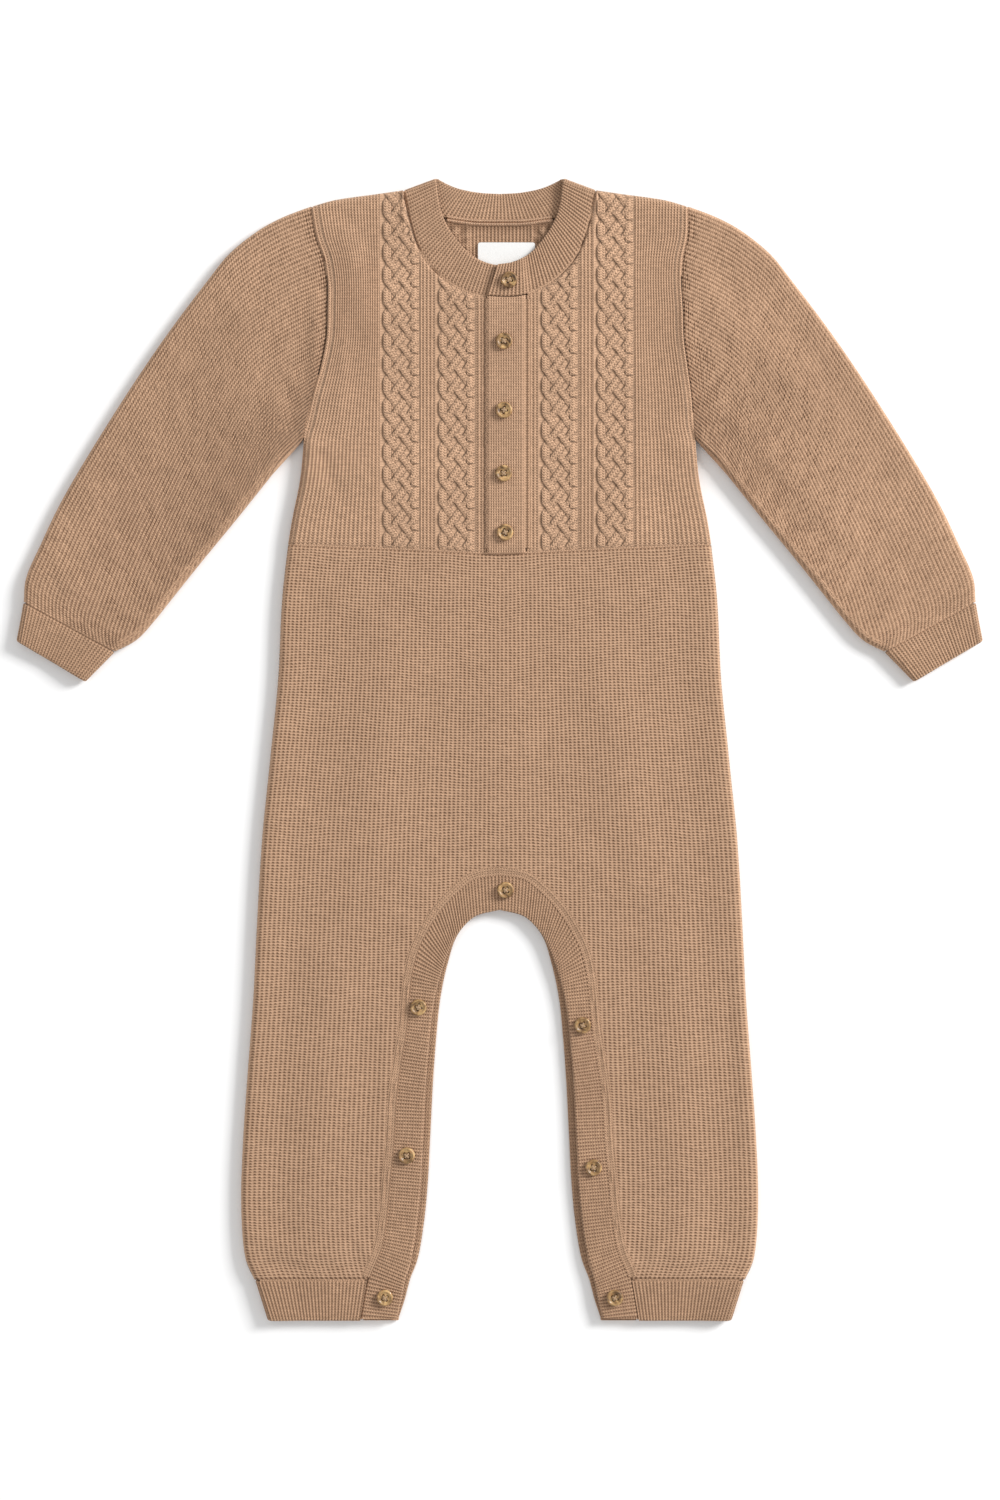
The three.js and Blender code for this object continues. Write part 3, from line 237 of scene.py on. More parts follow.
def plan_curve(points, steps=40):
    """A centripetal Catmull-Rom curve through plan points: its own points by length."""
    p = np.vstack([2 * points[0] - points[1], points, 2 * points[-1] - points[-2]])
    knots = np.linalg.norm(np.diff(p, axis=0), axis=1) ** 0.5
    u = np.linspace(0, 1, steps, endpoint=False)[:, None]
    parts = []
    for k in range(1, len(p) - 2):
        d0, d1, d2 = knots[k - 1:k + 2]
        start = ((p[k] - p[k - 1]) / d0 - (p[k + 1] - p[k - 1]) / (d0 + d1)
                 + (p[k + 1] - p[k]) / d1) * d1
        end = ((p[k + 1] - p[k]) / d1 - (p[k + 2] - p[k]) / (d1 + d2)
               + (p[k + 2] - p[k + 1]) / d2) * d1
        cubic = 2 * p[k] - 2 * p[k + 1] + start + end
        square = -3 * p[k] + 3 * p[k + 1] - 2 * start - end
        parts.append(cubic * u ** 3 + square * u ** 2 + start * u + p[k])
    line = np.vstack([*parts, p[-2][None]])
    length = np.concatenate([[0], np.cumsum(np.linalg.norm(np.diff(line, axis=0), axis=1))])
    return {"line": line, "length": length}


def curve_of(rows):
    return plan_curve(np.column_stack([rows["x"], rows["y"]]))


def on_curve(curve, t):
    """Plan points at shares t of the curve's length."""
    at = np.asarray(t) * curve["length"][-1]
    return np.stack([np.interp(at, curve["length"], curve["line"][:, k]) for k in (0, 1)], axis=-1)


def tangent(curve, t):
    step = 0.5 / curve["length"][-1]
    way = on_curve(curve, np.minimum(t + step, 1)) - on_curve(curve, np.maximum(t - step, 0))
    return way / np.linalg.norm(way, axis=-1, keepdims=True)


def raised_along(rows, x, y, fading):
    """Sum of ridges and troughs along the lines of a table. They may fade out at both ends."""
    total = np.zeros(np.broadcast(x, y).shape)
    for x0, y0, x1, y1, height, spread in zip(*rows.values()):
        way = x1 - x0, y1 - y0
        t = ((x - x0) * way[0] + (y - y0) * way[1]) / (way[0] ** 2 + way[1] ** 2)
        t = np.clip(t, 0, 1)
        away = np.hypot(x - x0 - t * way[0], y - y0 - t * way[1])
        strength = mix(1, np.sqrt(np.sin(np.pi * np.clip(t, 0.04, 0.96))), fading)
        total = total + height * strength * np.exp(-((away / spread) ** 2))
    return total


def unevenness(x, y):
    """Slight swell of cloth that no hand has smoothed fully."""
    return (0.12 * np.sin(x / 11.3 + 1.7 * np.sin(y / 23.1)) * np.sin(y / 14.9 + 0.4)
            + 0.05 * np.sin(x / 5.9 - y / 8.3 + 2 * np.sin(y / 31)))


def lift(x, y, edge_distance):
    """How far the front is lifted by its ridges and the air under it."""
    ridges = raised_along(FOLDS, x, y, 0)
    fine = raised_along(CREASES, x, y, 1) + unevenness(x, y)
    rise = (PUFF + ridges) * soft(edge_distance, PUFF_START, PUFF_START + EASE_LENGTH)
    return rise + fine * soft(edge_distance, 1, 9)


def skin(x, y, distance, turned, inward, layer):
    """The outer and inner face of the cloth at places in the plan, beside a turned edge."""
    near = np.minimum(distance, TURN_OUTER)
    cosine = (TURN_OUTER - near) / TURN_OUTER
    sine = np.sqrt(np.maximum(0, 1 - cosine ** 2))
    inset = (TURN_OUTER - TURN_INNER) * cosine * turned
    half = SEAM_GAP / 2
    if layer == "upper":
        settle = RISE * soft(distance, TURN_OUTER, TURN_OUTER + EASE_LENGTH)
        lifted = lift(x, y, mix(INLAND, distance, turned))
        arc_out = np.maximum(MID_HEIGHT + TURN_OUTER * sine, MID_HEIGHT + half) - settle
        arc_in = np.maximum(MID_HEIGHT + TURN_INNER * sine, MID_HEIGHT + half) - settle
        outer_z = mix(UPPER_TOP, arc_out, turned) + lifted
        inner_z = mix(UPPER_BOTTOM, arc_in, turned) + lifted
    else:
        outer_z = turned * np.minimum(MID_HEIGHT - TURN_OUTER * sine, MID_HEIGHT - half)
        inner_z = mix(PLY, np.minimum(MID_HEIGHT - TURN_INNER * sine, MID_HEIGHT - half), turned)
    outer = np.stack(np.broadcast_arrays(x, y, outer_z), axis=-1)
    inner = np.stack(np.broadcast_arrays(
        x + inward[0] * inset, y + inward[1] * inset, inner_z), axis=-1)
    return outer, inner


SHARP_DEGREES = 62


class Cloth:
    """Collects points with their stitch places, and faces, and makes a mesh object."""

    def __init__(self):
        self.points, self.stitches, self.shades, self.kinds = [], [], [], []
        self.quads, self.triangles = [], []
        self.count = 0

    def add(self, points, stitches=None, shade=1.0, kind=0.0):
        """Adds points in any array shape and returns their numbers in the same shape."""
        shape = points.shape[:-1]
        size = int(np.prod(shape))
        self.points.append(points.reshape(-1, 3))
        places = np.zeros((*shape, 2)) if stitches is None else stitches
        self.stitches.append(np.broadcast_to(places, (*shape, 2)).reshape(-1, 2))
        self.shades.append(np.broadcast_to(shade, shape).reshape(-1))
        self.kinds.append(np.broadcast_to(kind, shape).reshape(-1))
        numbers = np.arange(self.count, self.count + size).reshape(shape)
        self.count += size
        return numbers

    def grid(self, numbers, closed=False):
        """Quads between the rows and columns of a grid of point numbers."""
        if closed:
            numbers = np.concatenate([numbers, numbers[:, :1]], axis=1)
        quads = np.stack([numbers[:-1, :-1], numbers[:-1, 1:], numbers[1:, 1:], numbers[1:, :-1]],
                         axis=-1)
        self.quads.append(quads.reshape(-1, 4))

    def fan(self, ring):
        """Closes a ring of point numbers with triangles from its first point."""
        ring = np.asarray(ring)
        self.triangles.append(np.column_stack(
            [np.full(len(ring) - 2, ring[0]), ring[1:-1], ring[2:]]))

    def zip(self, left, right):
        """Faces between two lines of point numbers, always along the shorter diagonal."""
        everything = np.concatenate(self.points) if len(self.points) > 1 else self.points[0]
        self.points = [everything]
        a, b = everything[left].tolist(), everything[right].tolist()
        i = j = 0
        made = []
        while i < len(a) - 1 or j < len(b) - 1:
            via_left = math.dist(a[i + 1], b[j]) if i < len(a) - 1 else math.inf
            via_right = math.dist(a[i], b[j + 1]) if j < len(b) - 1 else math.inf
            if via_left <= via_right:
                made.append((left[i], right[j], left[i + 1]))
                i += 1
            else:
                made.append((left[i], right[j], right[j + 1]))
                j += 1
        if made:
            self.triangles.append(np.array(made))

    def lines(self, lines):
        """Faces between lines. Each line has point numbers and row numbers, and where two
        lines share rows they are joined row by row."""
        for a, b in zip(lines[:-1], lines[1:]):
            inner_a, inner_b = a["rows"] >= 0, b["rows"] >= 0
            if not (inner_a.any() and inner_b.any()) or a["step"] != b["step"]:
                self.zip(a["numbers"], b["numbers"])
                continue
            low = max(a["rows"][inner_a][0], b["rows"][inner_b][0])
            high = min(a["rows"][inner_a][-1], b["rows"][inner_b][-1])
            if high <= low:
                self.zip(a["numbers"], b["numbers"])
                continue
            cut = []
            for line in (a, b):
                first = int(np.nonzero(line["rows"] == low)[0][0])
                last = int(np.nonzero(line["rows"] == high)[0][0])
                cut.append((line["numbers"], first, last))
            (na, fa, la), (nb, fb, lb) = cut
            self.grid(np.stack([na[fa:la + 1], nb[fb:lb + 1]]))
            self.zip(na[:fa + 1], nb[:fb + 1])
            self.zip(na[la:], nb[lb:])

    def make(self, name, material):
        """The mesh object, in metres, with faces pointing out and smooth shading."""
        points = np.concatenate(self.points)
        keys = np.round(points, 3)
        _, first, inverse = np.unique(keys, axis=0, return_index=True, return_inverse=True)
        inverse = inverse.reshape(-1)
        faces = [inverse[q] for q in self.quads] + [inverse[t] for t in self.triangles]
        kept = []
        for group in faces:
            if group.shape[1] == 4:
                same = [(group[:, k] == group[:, (k + 1) % 4]) for k in range(4)]
                bad = np.any(same, axis=0)
                kept.append(group[~bad])
                for corners in ([0, 1, 2], [0, 2, 3]):
                    half = group[bad][:, corners]
                    kept.append(half[(half[:, 0] != half[:, 1]) & (half[:, 1] != half[:, 2])
                                     & (half[:, 0] != half[:, 2])])
            else:
                kept.append(group[(group[:, 0] != group[:, 1]) & (group[:, 1] != group[:, 2])
                                  & (group[:, 0] != group[:, 2])])
        kept = [group for group in kept if len(group)]
        place = points[first]
        volume = 0.0
        for group in kept:
            for k in range(1, group.shape[1] - 1):
                a, b, c = place[group[:, 0]], place[group[:, k]], place[group[:, k + 1]]
                volume += float(np.einsum("ij,ij->i", a, np.cross(b, c)).sum())
        if volume < 0:
            kept = [group[:, ::-1] for group in kept]
        mesh = bpy.data.meshes.new(name)
        sizes = np.concatenate([np.full(len(g), g.shape[1]) for g in kept])
        corners = np.concatenate([g.reshape(-1) for g in kept]).astype(np.int32)
        mesh.vertices.add(len(place))
        mesh.vertices.foreach_set("co", (place * MM).astype(np.float32).ravel())
        mesh.loops.add(len(corners))
        mesh.loops.foreach_set("vertex_index", corners)
        mesh.polygons.add(len(sizes))
        starts = np.concatenate([[0], np.cumsum(sizes)[:-1]]).astype(np.int32)
        mesh.polygons.foreach_set("loop_start", starts)
        mesh.update(calc_edges=True)
        stitches = np.concatenate(self.stitches)[first]
        layer = mesh.uv_layers.new(name="stitches")
        layer.data.foreach_set("uv", stitches[corners].astype(np.float32).ravel())
        for label, parts in (("shade", self.shades), ("kind", self.kinds)):
            values = np.concatenate(parts)[first].astype(np.float32)
            mesh.attributes.new(label, "FLOAT", "POINT").data.foreach_set("value", values)
        mesh.validate()
        shape = bmesh.new()
        shape.from_mesh(mesh)
        bmesh.ops.recalc_face_normals(shape, faces=shape.faces)
        shape.to_mesh(mesh)
        shape.free()
        mesh.shade_smooth()
        mesh.set_sharp_from_angle(angle=math.radians(SHARP_DEGREES))
        mesh.materials.append(material)
        shown = bpy.data.objects.new(name, mesh)
        bpy.context.scene.collection.objects.link(shown)
        return shown


def line_of(cloth, points, stitches, rows, step, shade=1.0, kind=0.0):
    return {"numbers": cloth.add(points, stitches, shade, kind), "rows": rows, "step": step}


def ends(lines, which):
    return np.array([line["numbers"][which] for line in lines])


def close_wall(cloth, outer, inner):
    """Joins an outer and an inner surface, each given by its lines, along all four sides."""
    cloth.zip(outer[0]["numbers"], inner[0]["numbers"])
    cloth.zip(outer[-1]["numbers"], inner[-1]["numbers"])
    cloth.zip(ends(outer, 0), ends(inner, 0))
    cloth.zip(ends(outer, -1), ends(inner, -1))


def rib_wave(wales):
    """Height of a rib from 0 in its groove to 1 on its crest, at a place counted in wales."""
    return 0.5 + 0.5 * np.cos(2 * np.pi * wales)


ROLL_STEP = 0.24


def rolled(distance):
    """How far cloth rolls down into a seam at a distance from it."""
    return 0.4 * (1 - soft(distance, 0, 0.9))


def pitted(wale, course):
    """Depth below the crests of knit with a pit in each cell between two wales and courses.
    No two pits are quite as deep, and whole rows are tighter or looser."""
    valley, hollow = 1 - rib_wave(wale), 1 - rib_wave(course)
    across = np.floor(wale).astype(int) % CELL_DEPTHS.shape[0]
    along = np.floor(course).astype(int) % CELL_DEPTHS.shape[1]
    row_slack = 0.12 * np.sin(course / 2.7 + 1.9 * np.sin(wale / 6.3)) * np.sin(wale / 4.1 + course / 19)
    return (valley * (0.14 + 0.36 * hollow) + 0.07 * hollow) * (CELL_DEPTHS[across, along] + row_slack)


EDGE_STEPS = (0, 0.12, 0.4, 0.85, 1.5, 2.4, TURN_OUTER)
FEW_EDGE_STEPS = (0, 1, TURN_OUTER)


# Body: front and back, each from the waist to both leg cuffs
BODY_WALES = 52
BODY_STEP = 0.76
TORSO_END = -60
TORSO_ROWS = 220


def leg_seam_curve(layer):
    inset = 0 if layer == "upper" else look_up(LEG_EDGE, "y", "inset", LEG_SEAM["y"])
    return plan_curve(np.column_stack([LEG_SEAM["x"] - inset, LEG_SEAM["y"]]))


def seam_beside(curve, distance):
    """A dense line beside a curve, to the right of its direction."""
    t = np.linspace(0, 1, 900)
    at, way = on_curve(curve, t), tangent(curve, t)
    moved = at + np.column_stack([way[:, 1], -way[:, 0]]) * distance
    moved[:, 0] = np.maximum(moved[:, 0], 0)
    return moved


def body_column(side, lane, seam, torso_rows, leg_step):
    """Places of one lane of the body, from the waist down to the leg seam or the cuff."""
    def x_at(y):
        width = look_up(BODY_SIDE, "y", "x", y)
        if "edge" in lane:
            return width - lane["edge"]
        return lane["share"] * (width - TURN_OUTER)

    top = float(look_up(WAIST, "x", "y", x_at(112.6))) - SEAM_GAP / 2
    torso = mix(top, TORSO_END, np.linspace(0, 1, torso_rows + 1))
    below = np.arange(TORSO_END - leg_step, CUFF_SEAM_Y + SEAM_GAP / 2 + 0.5, -leg_step)
    y = np.concatenate([torso, below])
    seam_x = np.interp(-y, -seam[:, 1], seam[:, 0], left=-1)
    bottom = CUFF_SEAM_Y + SEAM_GAP / 2
    cross = np.nonzero(seam_x >= x_at(y) - 1e-9)[0]
    if len(cross):
        fine = np.linspace(y[cross[0]], y[cross[0] - 1], 200)
        gap = np.interp(-fine, -seam[:, 1], seam[:, 0], left=-1) - x_at(fine)
        bottom = float(fine[np.nonzero(gap >= 0)[0][-1]])
        y = y[:cross[0]]
    rows = np.arange(len(y))
    keep = (y > bottom + 0.35) & (rows > 0)
    y = np.concatenate([[top, top - ROLL_STEP], y[keep], [bottom + ROLL_STEP, bottom]])
    rows = np.concatenate([[-1, -1], rows[keep], [-1, -1]])
    course = np.interp(-y, -y[2:-2], rows[2:-2] / 2) if keep.sum() > 1 else np.zeros(len(y))
    inner = np.minimum(y[0] - y, y - bottom)
    x = x_at(y)
    y = y + 0.5 * soft(inner, 0, 6) * np.sin(x / 6.1 + 1.3 * np.sin(y / 17)) * np.sin(y / 9.7)
    distance = look_up(BODY_SIDE, "y", "x", y) - x
    return {"x": side * x, "y": y, "distance": distance, "rows": rows, "course": course,
            "rolled": rolled(inner)}


def body_surface(cloth, layer, face, wale_samples, torso_rows, leg_step, depth):
    """One face of the front or back of the body, as lines from the left side to the right."""
    curve = leg_seam_curve(layer)
    seam = seam_beside(curve, -SEAM_GAP / 2)
    edges = EDGE_STEPS if face == 0 else FEW_EDGE_STEPS
    count = int(BODY_WALES * wale_samples)
    lanes = [{"edge": edge} for edge in edges]
    lanes += [{"share": 1 - k / count} for k in range(1, count + 1)]
    made = {}
    for side in (-1, 1):
        made[side] = []
        for lane in lanes:
            place = body_column(side, lane, seam, torso_rows, leg_step)
            faces = skin(place["x"], place["y"], place["distance"], 1.0, (-side, 0), layer)
            points = faces[face]
            width = np.abs(place["x"]) + place["distance"] - TURN_OUTER
            wale = BODY_WALES * place["x"] / width
            fade = soft(place["distance"], 0.15, 1.8)
            dug = depth * fade * pitted(wale, place["course"]) + place["rolled"]
            if layer == "upper":
                points[:, 2] -= dug
            elif face == 0:
                points[:, 2] += dug
            stitches = np.column_stack([wale, place["course"]])
            shade = 1 - 0.9 * dug
            made[side].append(line_of(cloth, points, stitches, place["rows"], 1, shade, 1.0))
    return made[-1] + made[1][-2::-1]


def body(layer, samples, rows, step):
    cloth = Cloth()
    outer = body_surface(cloth, layer, 0, samples, rows, step, 1)
    inner = body_surface(cloth, layer, 1, 0.25, 12, 14, 0)
    cloth.lines(outer)
    cloth.lines(inner)
    close_wall(cloth, outer, inner)
    name = "cloth_front_body" if layer == "upper" else "cloth_back_body"
    return cloth.make(name, materials["knit"])


# Yokes
def armhole_x(side, y):
    reach = np.sin(np.pi * np.clip(
        (y - ARMHOLE_SHIFT["from"]) / (ARMHOLE_SHIFT["to"] - ARMHOLE_SHIFT["from"]), 0, 1))
    return look_up(ARMHOLE, "y", "x", y) + ARMHOLE_SHIFT[side] * reach


ARMPIT_Y = 170


def yoke_outer_x(side, y):
    y = np.asarray(y, dtype=float)
    above = armhole_x(side, y) - ARMHOLE_CLEARANCE * soft(y, ARMPIT_Y, ARMPIT_Y + 10)
    return np.where(y > ARMPIT_Y, above, look_up(YOKE_SIDE, "y", "x", y))


def yoke_top_y(x, seam_rows):
    far = np.abs(x)
    at_shoulder = look_up(SHOULDER, "x", "y", np.minimum(far, SHOULDER["x"][-1]))
    at_neck = look_up(seam_rows, "x", "y", np.maximum(0, far - NECK_CLEARANCE)) - SEAM_GAP
    return np.where(far >= SHOULDER["x"][0], at_shoulder, at_neck)


def yoke_column(side, x_at, seam_rows, rows_y, few):
    """Places of one lane of a yoke, from the waist up to the neck or the shoulder."""
    low = float(look_up(WAIST, "x", "y", abs(float(x_at(112.6))))) + SEAM_GAP / 2
    guess = float(yoke_top_y(float(x_at(298.6)), seam_rows))
    top = float(yoke_top_y(float(x_at(guess)), seam_rows))
    top_x = abs(float(x_at(top)))
    turned_top = top_x > SHOULDER["x"][0] - 2
    steps = (FEW_EDGE_STEPS if few else EDGE_STEPS) if turned_top else (0, ROLL_STEP, 0.8)
    inside = top - steps[-1]
    numbers = np.arange(len(rows_y))
    keep = (rows_y > low + 1) & (rows_y < inside - 0.3)
    y = np.concatenate([[low, low + ROLL_STEP, low + 0.8], rows_y[keep],
                        [top - step for step in steps[::-1]]])
    rows = np.concatenate([[-1, -1, -1], numbers[keep], np.full(len(steps), -1)])
    x = x_at(y)
    side_distance = yoke_outer_x(side, y) - np.abs(x)
    under_arm = 1 - soft(y, ARMPIT_Y - 6, ARMPIT_Y + 4)
    at_shoulder = soft(np.abs(x), SHOULDER["x"][0] - 2.5, SHOULDER["x"][0] + 1)
    top_distance = top - y
    by_top = (at_shoulder > 0) & (top_distance < 60)
    return {
        "x": x, "y": y, "rows": rows,
        "rolled": rolled(y - low) + (0 if turned_top else rolled(top - y)),
        "distance": np.where(by_top, top_distance, side_distance),
        "turned": np.where(by_top, at_shoulder, under_arm),
        "inward": (np.where(by_top, 0, -side), np.where(by_top, -1, 0)),
    }


def plait_height(across, along):
    """Height of a flat cable of five strands from 0 to 1, with the lean of the strand on top
    and the distance from that strand's middle."""
    first, last, strand = CABLE["from"], CABLE["to"], CABLE["strand"]
    across, along = np.broadcast_arrays(np.asarray(across, float), np.asarray(along, float))
    swing = np.cos(2 * np.pi * along / CABLE["period"])
    shift = 2 * strand * along / CABLE["period"]
    height = np.zeros(across.shape)
    lean_on_top = np.zeros(across.shape)
    offset_on_top = np.zeros(across.shape)
    for lean in (1, -1):
        over = 1 - CABLE["tuck"] * (1 - lean * swing)
        wrapped = np.mod(strand + lean * shift, 2 * strand)
        for k in range(-1, 4):
            centre = first + wrapped + 2 * strand * k
            inside = np.clip(centre, first + strand / 2, last - strand / 2)
            offset = across - inside
            reach = np.abs(centre - inside) <= strand
            dome = np.sqrt(np.maximum(0, 1 - np.abs(offset / CABLE["half"]) ** 3))
            strand_height = reach * (over * (0.45 + 0.55 * dome) - CABLE["tilt"] * offset) * (dome > 0)
            top = strand_height > height
            height = np.where(top, strand_height, height)
            lean_on_top = np.where(top, lean, lean_on_top)
            offset_on_top = np.where(top, offset, offset_on_top)
    edge = soft(np.minimum(across, CABLE["width"] - across), 0, 2.2)
    return height * edge, lean_on_top, offset_on_top


def plait_hollow(across, along):
    """How deep a place on the cable lies below what is around it."""
    own = plait_height(across, along)[0]
    around = [plait_height(across + 0.6 * math.cos(a), along + 0.6 * math.sin(a))[0]
              for a in np.linspace(0, 2 * np.pi, 8, endpoint=False)]
    return np.maximum(0, np.mean(around, axis=0) - own)


def straight_lane(x):
    """A lane with the same x all along."""
    def x_at(y):
        return np.full(np.shape(y), x)
    return x_at


def edge_lane(side, distance):
    """A lane that keeps its distance from the yoke's outer edge."""
    def x_at(y):
        return side * (yoke_outer_x(side, y) - distance)
    return x_at


def share_lane(side, front, share):
    """A lane at a share of the way from a yoke's front edge to its outer turn."""
    def x_at(y):
        return mix(front, side * (yoke_outer_x(side, y) - TURN_OUTER), share)
    return x_at


def yoke_lanes(front, side, outer_x, wale_step, cable_step):
    """Lanes of one side of a yoke, from a front edge outwards: ribs, cable, ribs, cable, ribs."""
    cable_end = CABLE_OFFSETS[1] + CABLE["width"]
    lanes = []

    def straight(offset, cable=None):
        lanes.append({"offset": offset, "cable": cable, "x": straight_lane(front + side * offset)})

    def ribs(start, end, skip_first, skip_last):
        count = int(round((end - start) / wale_step))
        for k in range(1 if skip_first else 0, count + (0 if skip_last else 1)):
            straight(mix(start, end, k / count))

    ribs(0, CABLE_OFFSETS[0], False, True)
    count = int(round(CABLE["width"] / cable_step))
    for k, start in enumerate(CABLE_OFFSETS):
        for j in range(count + 1):
            far = CABLE["width"] * j / count
            straight(start + far, far if side > 0 else CABLE["width"] - far)
        if k == 0:
            ribs(start + CABLE["width"], CABLE_OFFSETS[1], True, True)
    from_x = abs(front + side * cable_end)
    reach = float(outer_x(ARMPIT_Y)) - TURN_OUTER - from_x
    count = int(round(reach / wale_step))
    for k in range(1, count + 1):
        lanes.append({"share": k / count, "cable": None, "wales": (cable_end, reach),
                      "x": lambda y, k=k: side * mix(from_x, outer_x(y) - TURN_OUTER, k / count)})
    for edge in EDGE_STEPS[-2::-1]:
        lanes.append({"edge": edge, "cable": None, "x": edge_lane(side, edge)})
    return lanes


YOKE_SPAN = (107, 312)
RIB_STEP_Y = 2.4
CABLE_STEP_Y = 0.6
YOKE_RELIEF = 0.42


def lane_relief(lane, place):
    """Raised height, stitch places, shade and kind of knit along one lane of a yoke."""
    y = place["y"]
    if lane["cable"] is not None:
        along = CABLE["phase"] - y
        height, lean, offset = plait_height(lane["cable"], along)
        shade = 1.1 - np.clip(3.2 * plait_hollow(lane["cable"], along), 0, 0.95)
        stitches = np.column_stack([40 * lean + offset / 2.2, y / COURSE + 0.25 * offset])
        return CABLE["height"] * height, stitches, shade, 0.0
    if "offset" in lane:
        wale = lane["offset"] / YOKE_RIB
    elif "share" in lane:
        start, reach = lane["wales"]
        wale = (start + lane["share"] * reach) / YOKE_RIB
    else:
        wale = lane["edge"] / YOKE_RIB
    wave = rib_wave(np.full(len(y), wale))
    stitches = np.column_stack([np.full(len(y), wale), y / COURSE])
    return YOKE_RELIEF * wave, stitches, 0.62 + 0.38 * wave, 0.0


def front_yoke(side):
    cloth = Cloth()
    front = YOKE_FRONT[side]
    ribs_y = np.arange(*YOKE_SPAN, RIB_STEP_Y)
    cable_y = np.arange(*YOKE_SPAN, CABLE_STEP_Y)
    outer = []
    for lane in yoke_lanes(front, side, partial(yoke_outer_x, side), YOKE_RIB / 4, 0.5):
        in_cable = lane["cable"] is not None
        place = yoke_column(side, lane["x"], NECK_SEAM, cable_y if in_cable else ribs_y, False)
        points = skin(place["x"], place["y"], place["distance"], place["turned"],
                      place["inward"], "upper")[0]
        raised, stitches, shade, kind = lane_relief(lane, place)
        from_end = np.minimum(place["y"] - place["y"][0], place["y"][-1] - place["y"])
        points[:, 2] += raised * soft(from_end, 0, 2.5) - place["rolled"]
        outer.append(line_of(cloth, points, stitches, place["rows"],
                             CABLE_STEP_Y if in_cable else RIB_STEP_Y, shade, kind))
    coarse_y = np.arange(*YOKE_SPAN, 12.0)
    inner = [share_lane(side, front, share) for share in np.linspace(0, 1, 13)]
    inner += [edge_lane(side, edge) for edge in FEW_EDGE_STEPS[-2::-1]]
    inner_lines = []
    for x_at in inner:
        place = yoke_column(side, x_at, NECK_SEAM, coarse_y, True)
        points = skin(place["x"], place["y"], place["distance"], place["turned"],
                      place["inward"], "upper")[1]
        inner_lines.append(line_of(cloth, points, None, place["rows"], 12, 0.6))
    cloth.lines(outer)
    cloth.lines(inner_lines)
    close_wall(cloth, outer, inner_lines)
    return cloth.make("cloth_front_yoke_" + SIDE_NAME[side], materials["knit"])


BACK_FRONT_X = 11


def back_yoke():
    cloth = Cloth()
    ribs_y = np.arange(*YOKE_SPAN, RIB_STEP_Y)
    cable_y = np.arange(*YOKE_SPAN, CABLE_STEP_Y)
    relief = CABLE["height"]
    halves = {}
    inner_halves = {}
    for side in (-1, 1):
        centre = [{"offset": -BACK_FRONT_X + x, "cable": None, "x": straight_lane(side * x)}
                  for x in np.arange(0, BACK_FRONT_X, YOKE_RIB / 3)]
        lanes = centre + yoke_lanes(side * BACK_FRONT_X, side, partial(yoke_outer_x, side),
                                    YOKE_RIB / 3, 1.0)
        lines = []
        for lane in lanes:
            in_cable = lane["cable"] is not None
            place = yoke_column(side, lane["x"], BACK_NECK_SEAM,
                                cable_y[::2] if in_cable else ribs_y, False)
            points = skin(place["x"], place["y"], place["distance"], place["turned"],
                          place["inward"], "lower")[0]
            raised, stitches, shade, kind = lane_relief(lane, place)
            from_end = np.minimum(place["y"] - place["y"][0], place["y"][-1] - place["y"])
            fade = soft(from_end, 0, 3) * soft(place["distance"], 2, 8)
            points[:, 2] += np.maximum(0, (relief - raised) * fade) * (1 if in_cable else 0.75)
            lines.append(line_of(cloth, points, stitches, place["rows"],
                                 2 * CABLE_STEP_Y if in_cable else RIB_STEP_Y, shade, kind))
        halves[side] = lines
        inner_halves[side] = back_yoke_inside(cloth, side)
    outer = halves[-1][::-1] + halves[1][1:]
    inner = inner_halves[-1][::-1] + inner_halves[1][1:]
    cloth.lines(outer)
    cloth.lines(inner)
    close_wall(cloth, outer, inner)
    return cloth.make("cloth_back_yoke", materials["knit"])


INSIDE_SEEN = {"half_width": 34, "from_y": 244}


def back_yoke_inside(cloth, side):
    """The inner face of the back yoke, fine where it shows through the neck."""
    seen = np.arange(0, INSIDE_SEEN["half_width"], 0.5)
    plain = [36, 40, 45.5, 50, 53.4, 62, 72]
    lanes = [straight_lane(side * x) for x in [*seen, *plain]]
    lanes += [edge_lane(side, edge) for edge in FEW_EDGE_STEPS[::-1]]
    fine_y = np.concatenate([np.arange(107, INSIDE_SEEN["from_y"], 14),
                             np.arange(INSIDE_SEEN["from_y"], 291, 1.0)])
    coarse_y = np.arange(*YOKE_SPAN, 14.0)
    lines = []
    for k, x_at in enumerate(lanes):
        fine = k < len(seen)
        place = yoke_column(side, x_at, BACK_NECK_SEAM, fine_y if fine else coarse_y, True)
        points = skin(place["x"], place["y"], place["distance"], place["turned"],
                      place["inward"], "lower")[1]
        far = np.abs(place["x"]) - 17
        from_end = np.minimum(place["y"] - place["y"][0], place["y"][-1] - place["y"])
        fade = soft(from_end, 0, 1.5) * (place["y"] > INSIDE_SEEN["from_y"]) * fine
        height = plait_height(CABLE["width"] - far, CABLE["phase"] - place["y"])[0]
        in_cable = soft(far, -0.5, 0.5)
        wave = rib_wave(place["x"] / YOKE_RIB)
        raised = mix(0.45 * wave, 0.9 * (1 - height), in_cable)
        points[:, 2] += fade * (raised - 0.3)
        stitches = np.column_stack([place["x"] / YOKE_RIB, place["y"] / COURSE])
        shade = mix(1, 0.35 + 0.65 * mix(wave, 1 - height, in_cable), fade) * 0.9
        shade = shade * (1 - 0.5 * (1 - soft(place["y"][-1] - place["y"], 1, 6)))
        lines.append(line_of(cloth, points, stitches, place["rows"], 1 if fine else 14, shade, 0.0))
    return lines


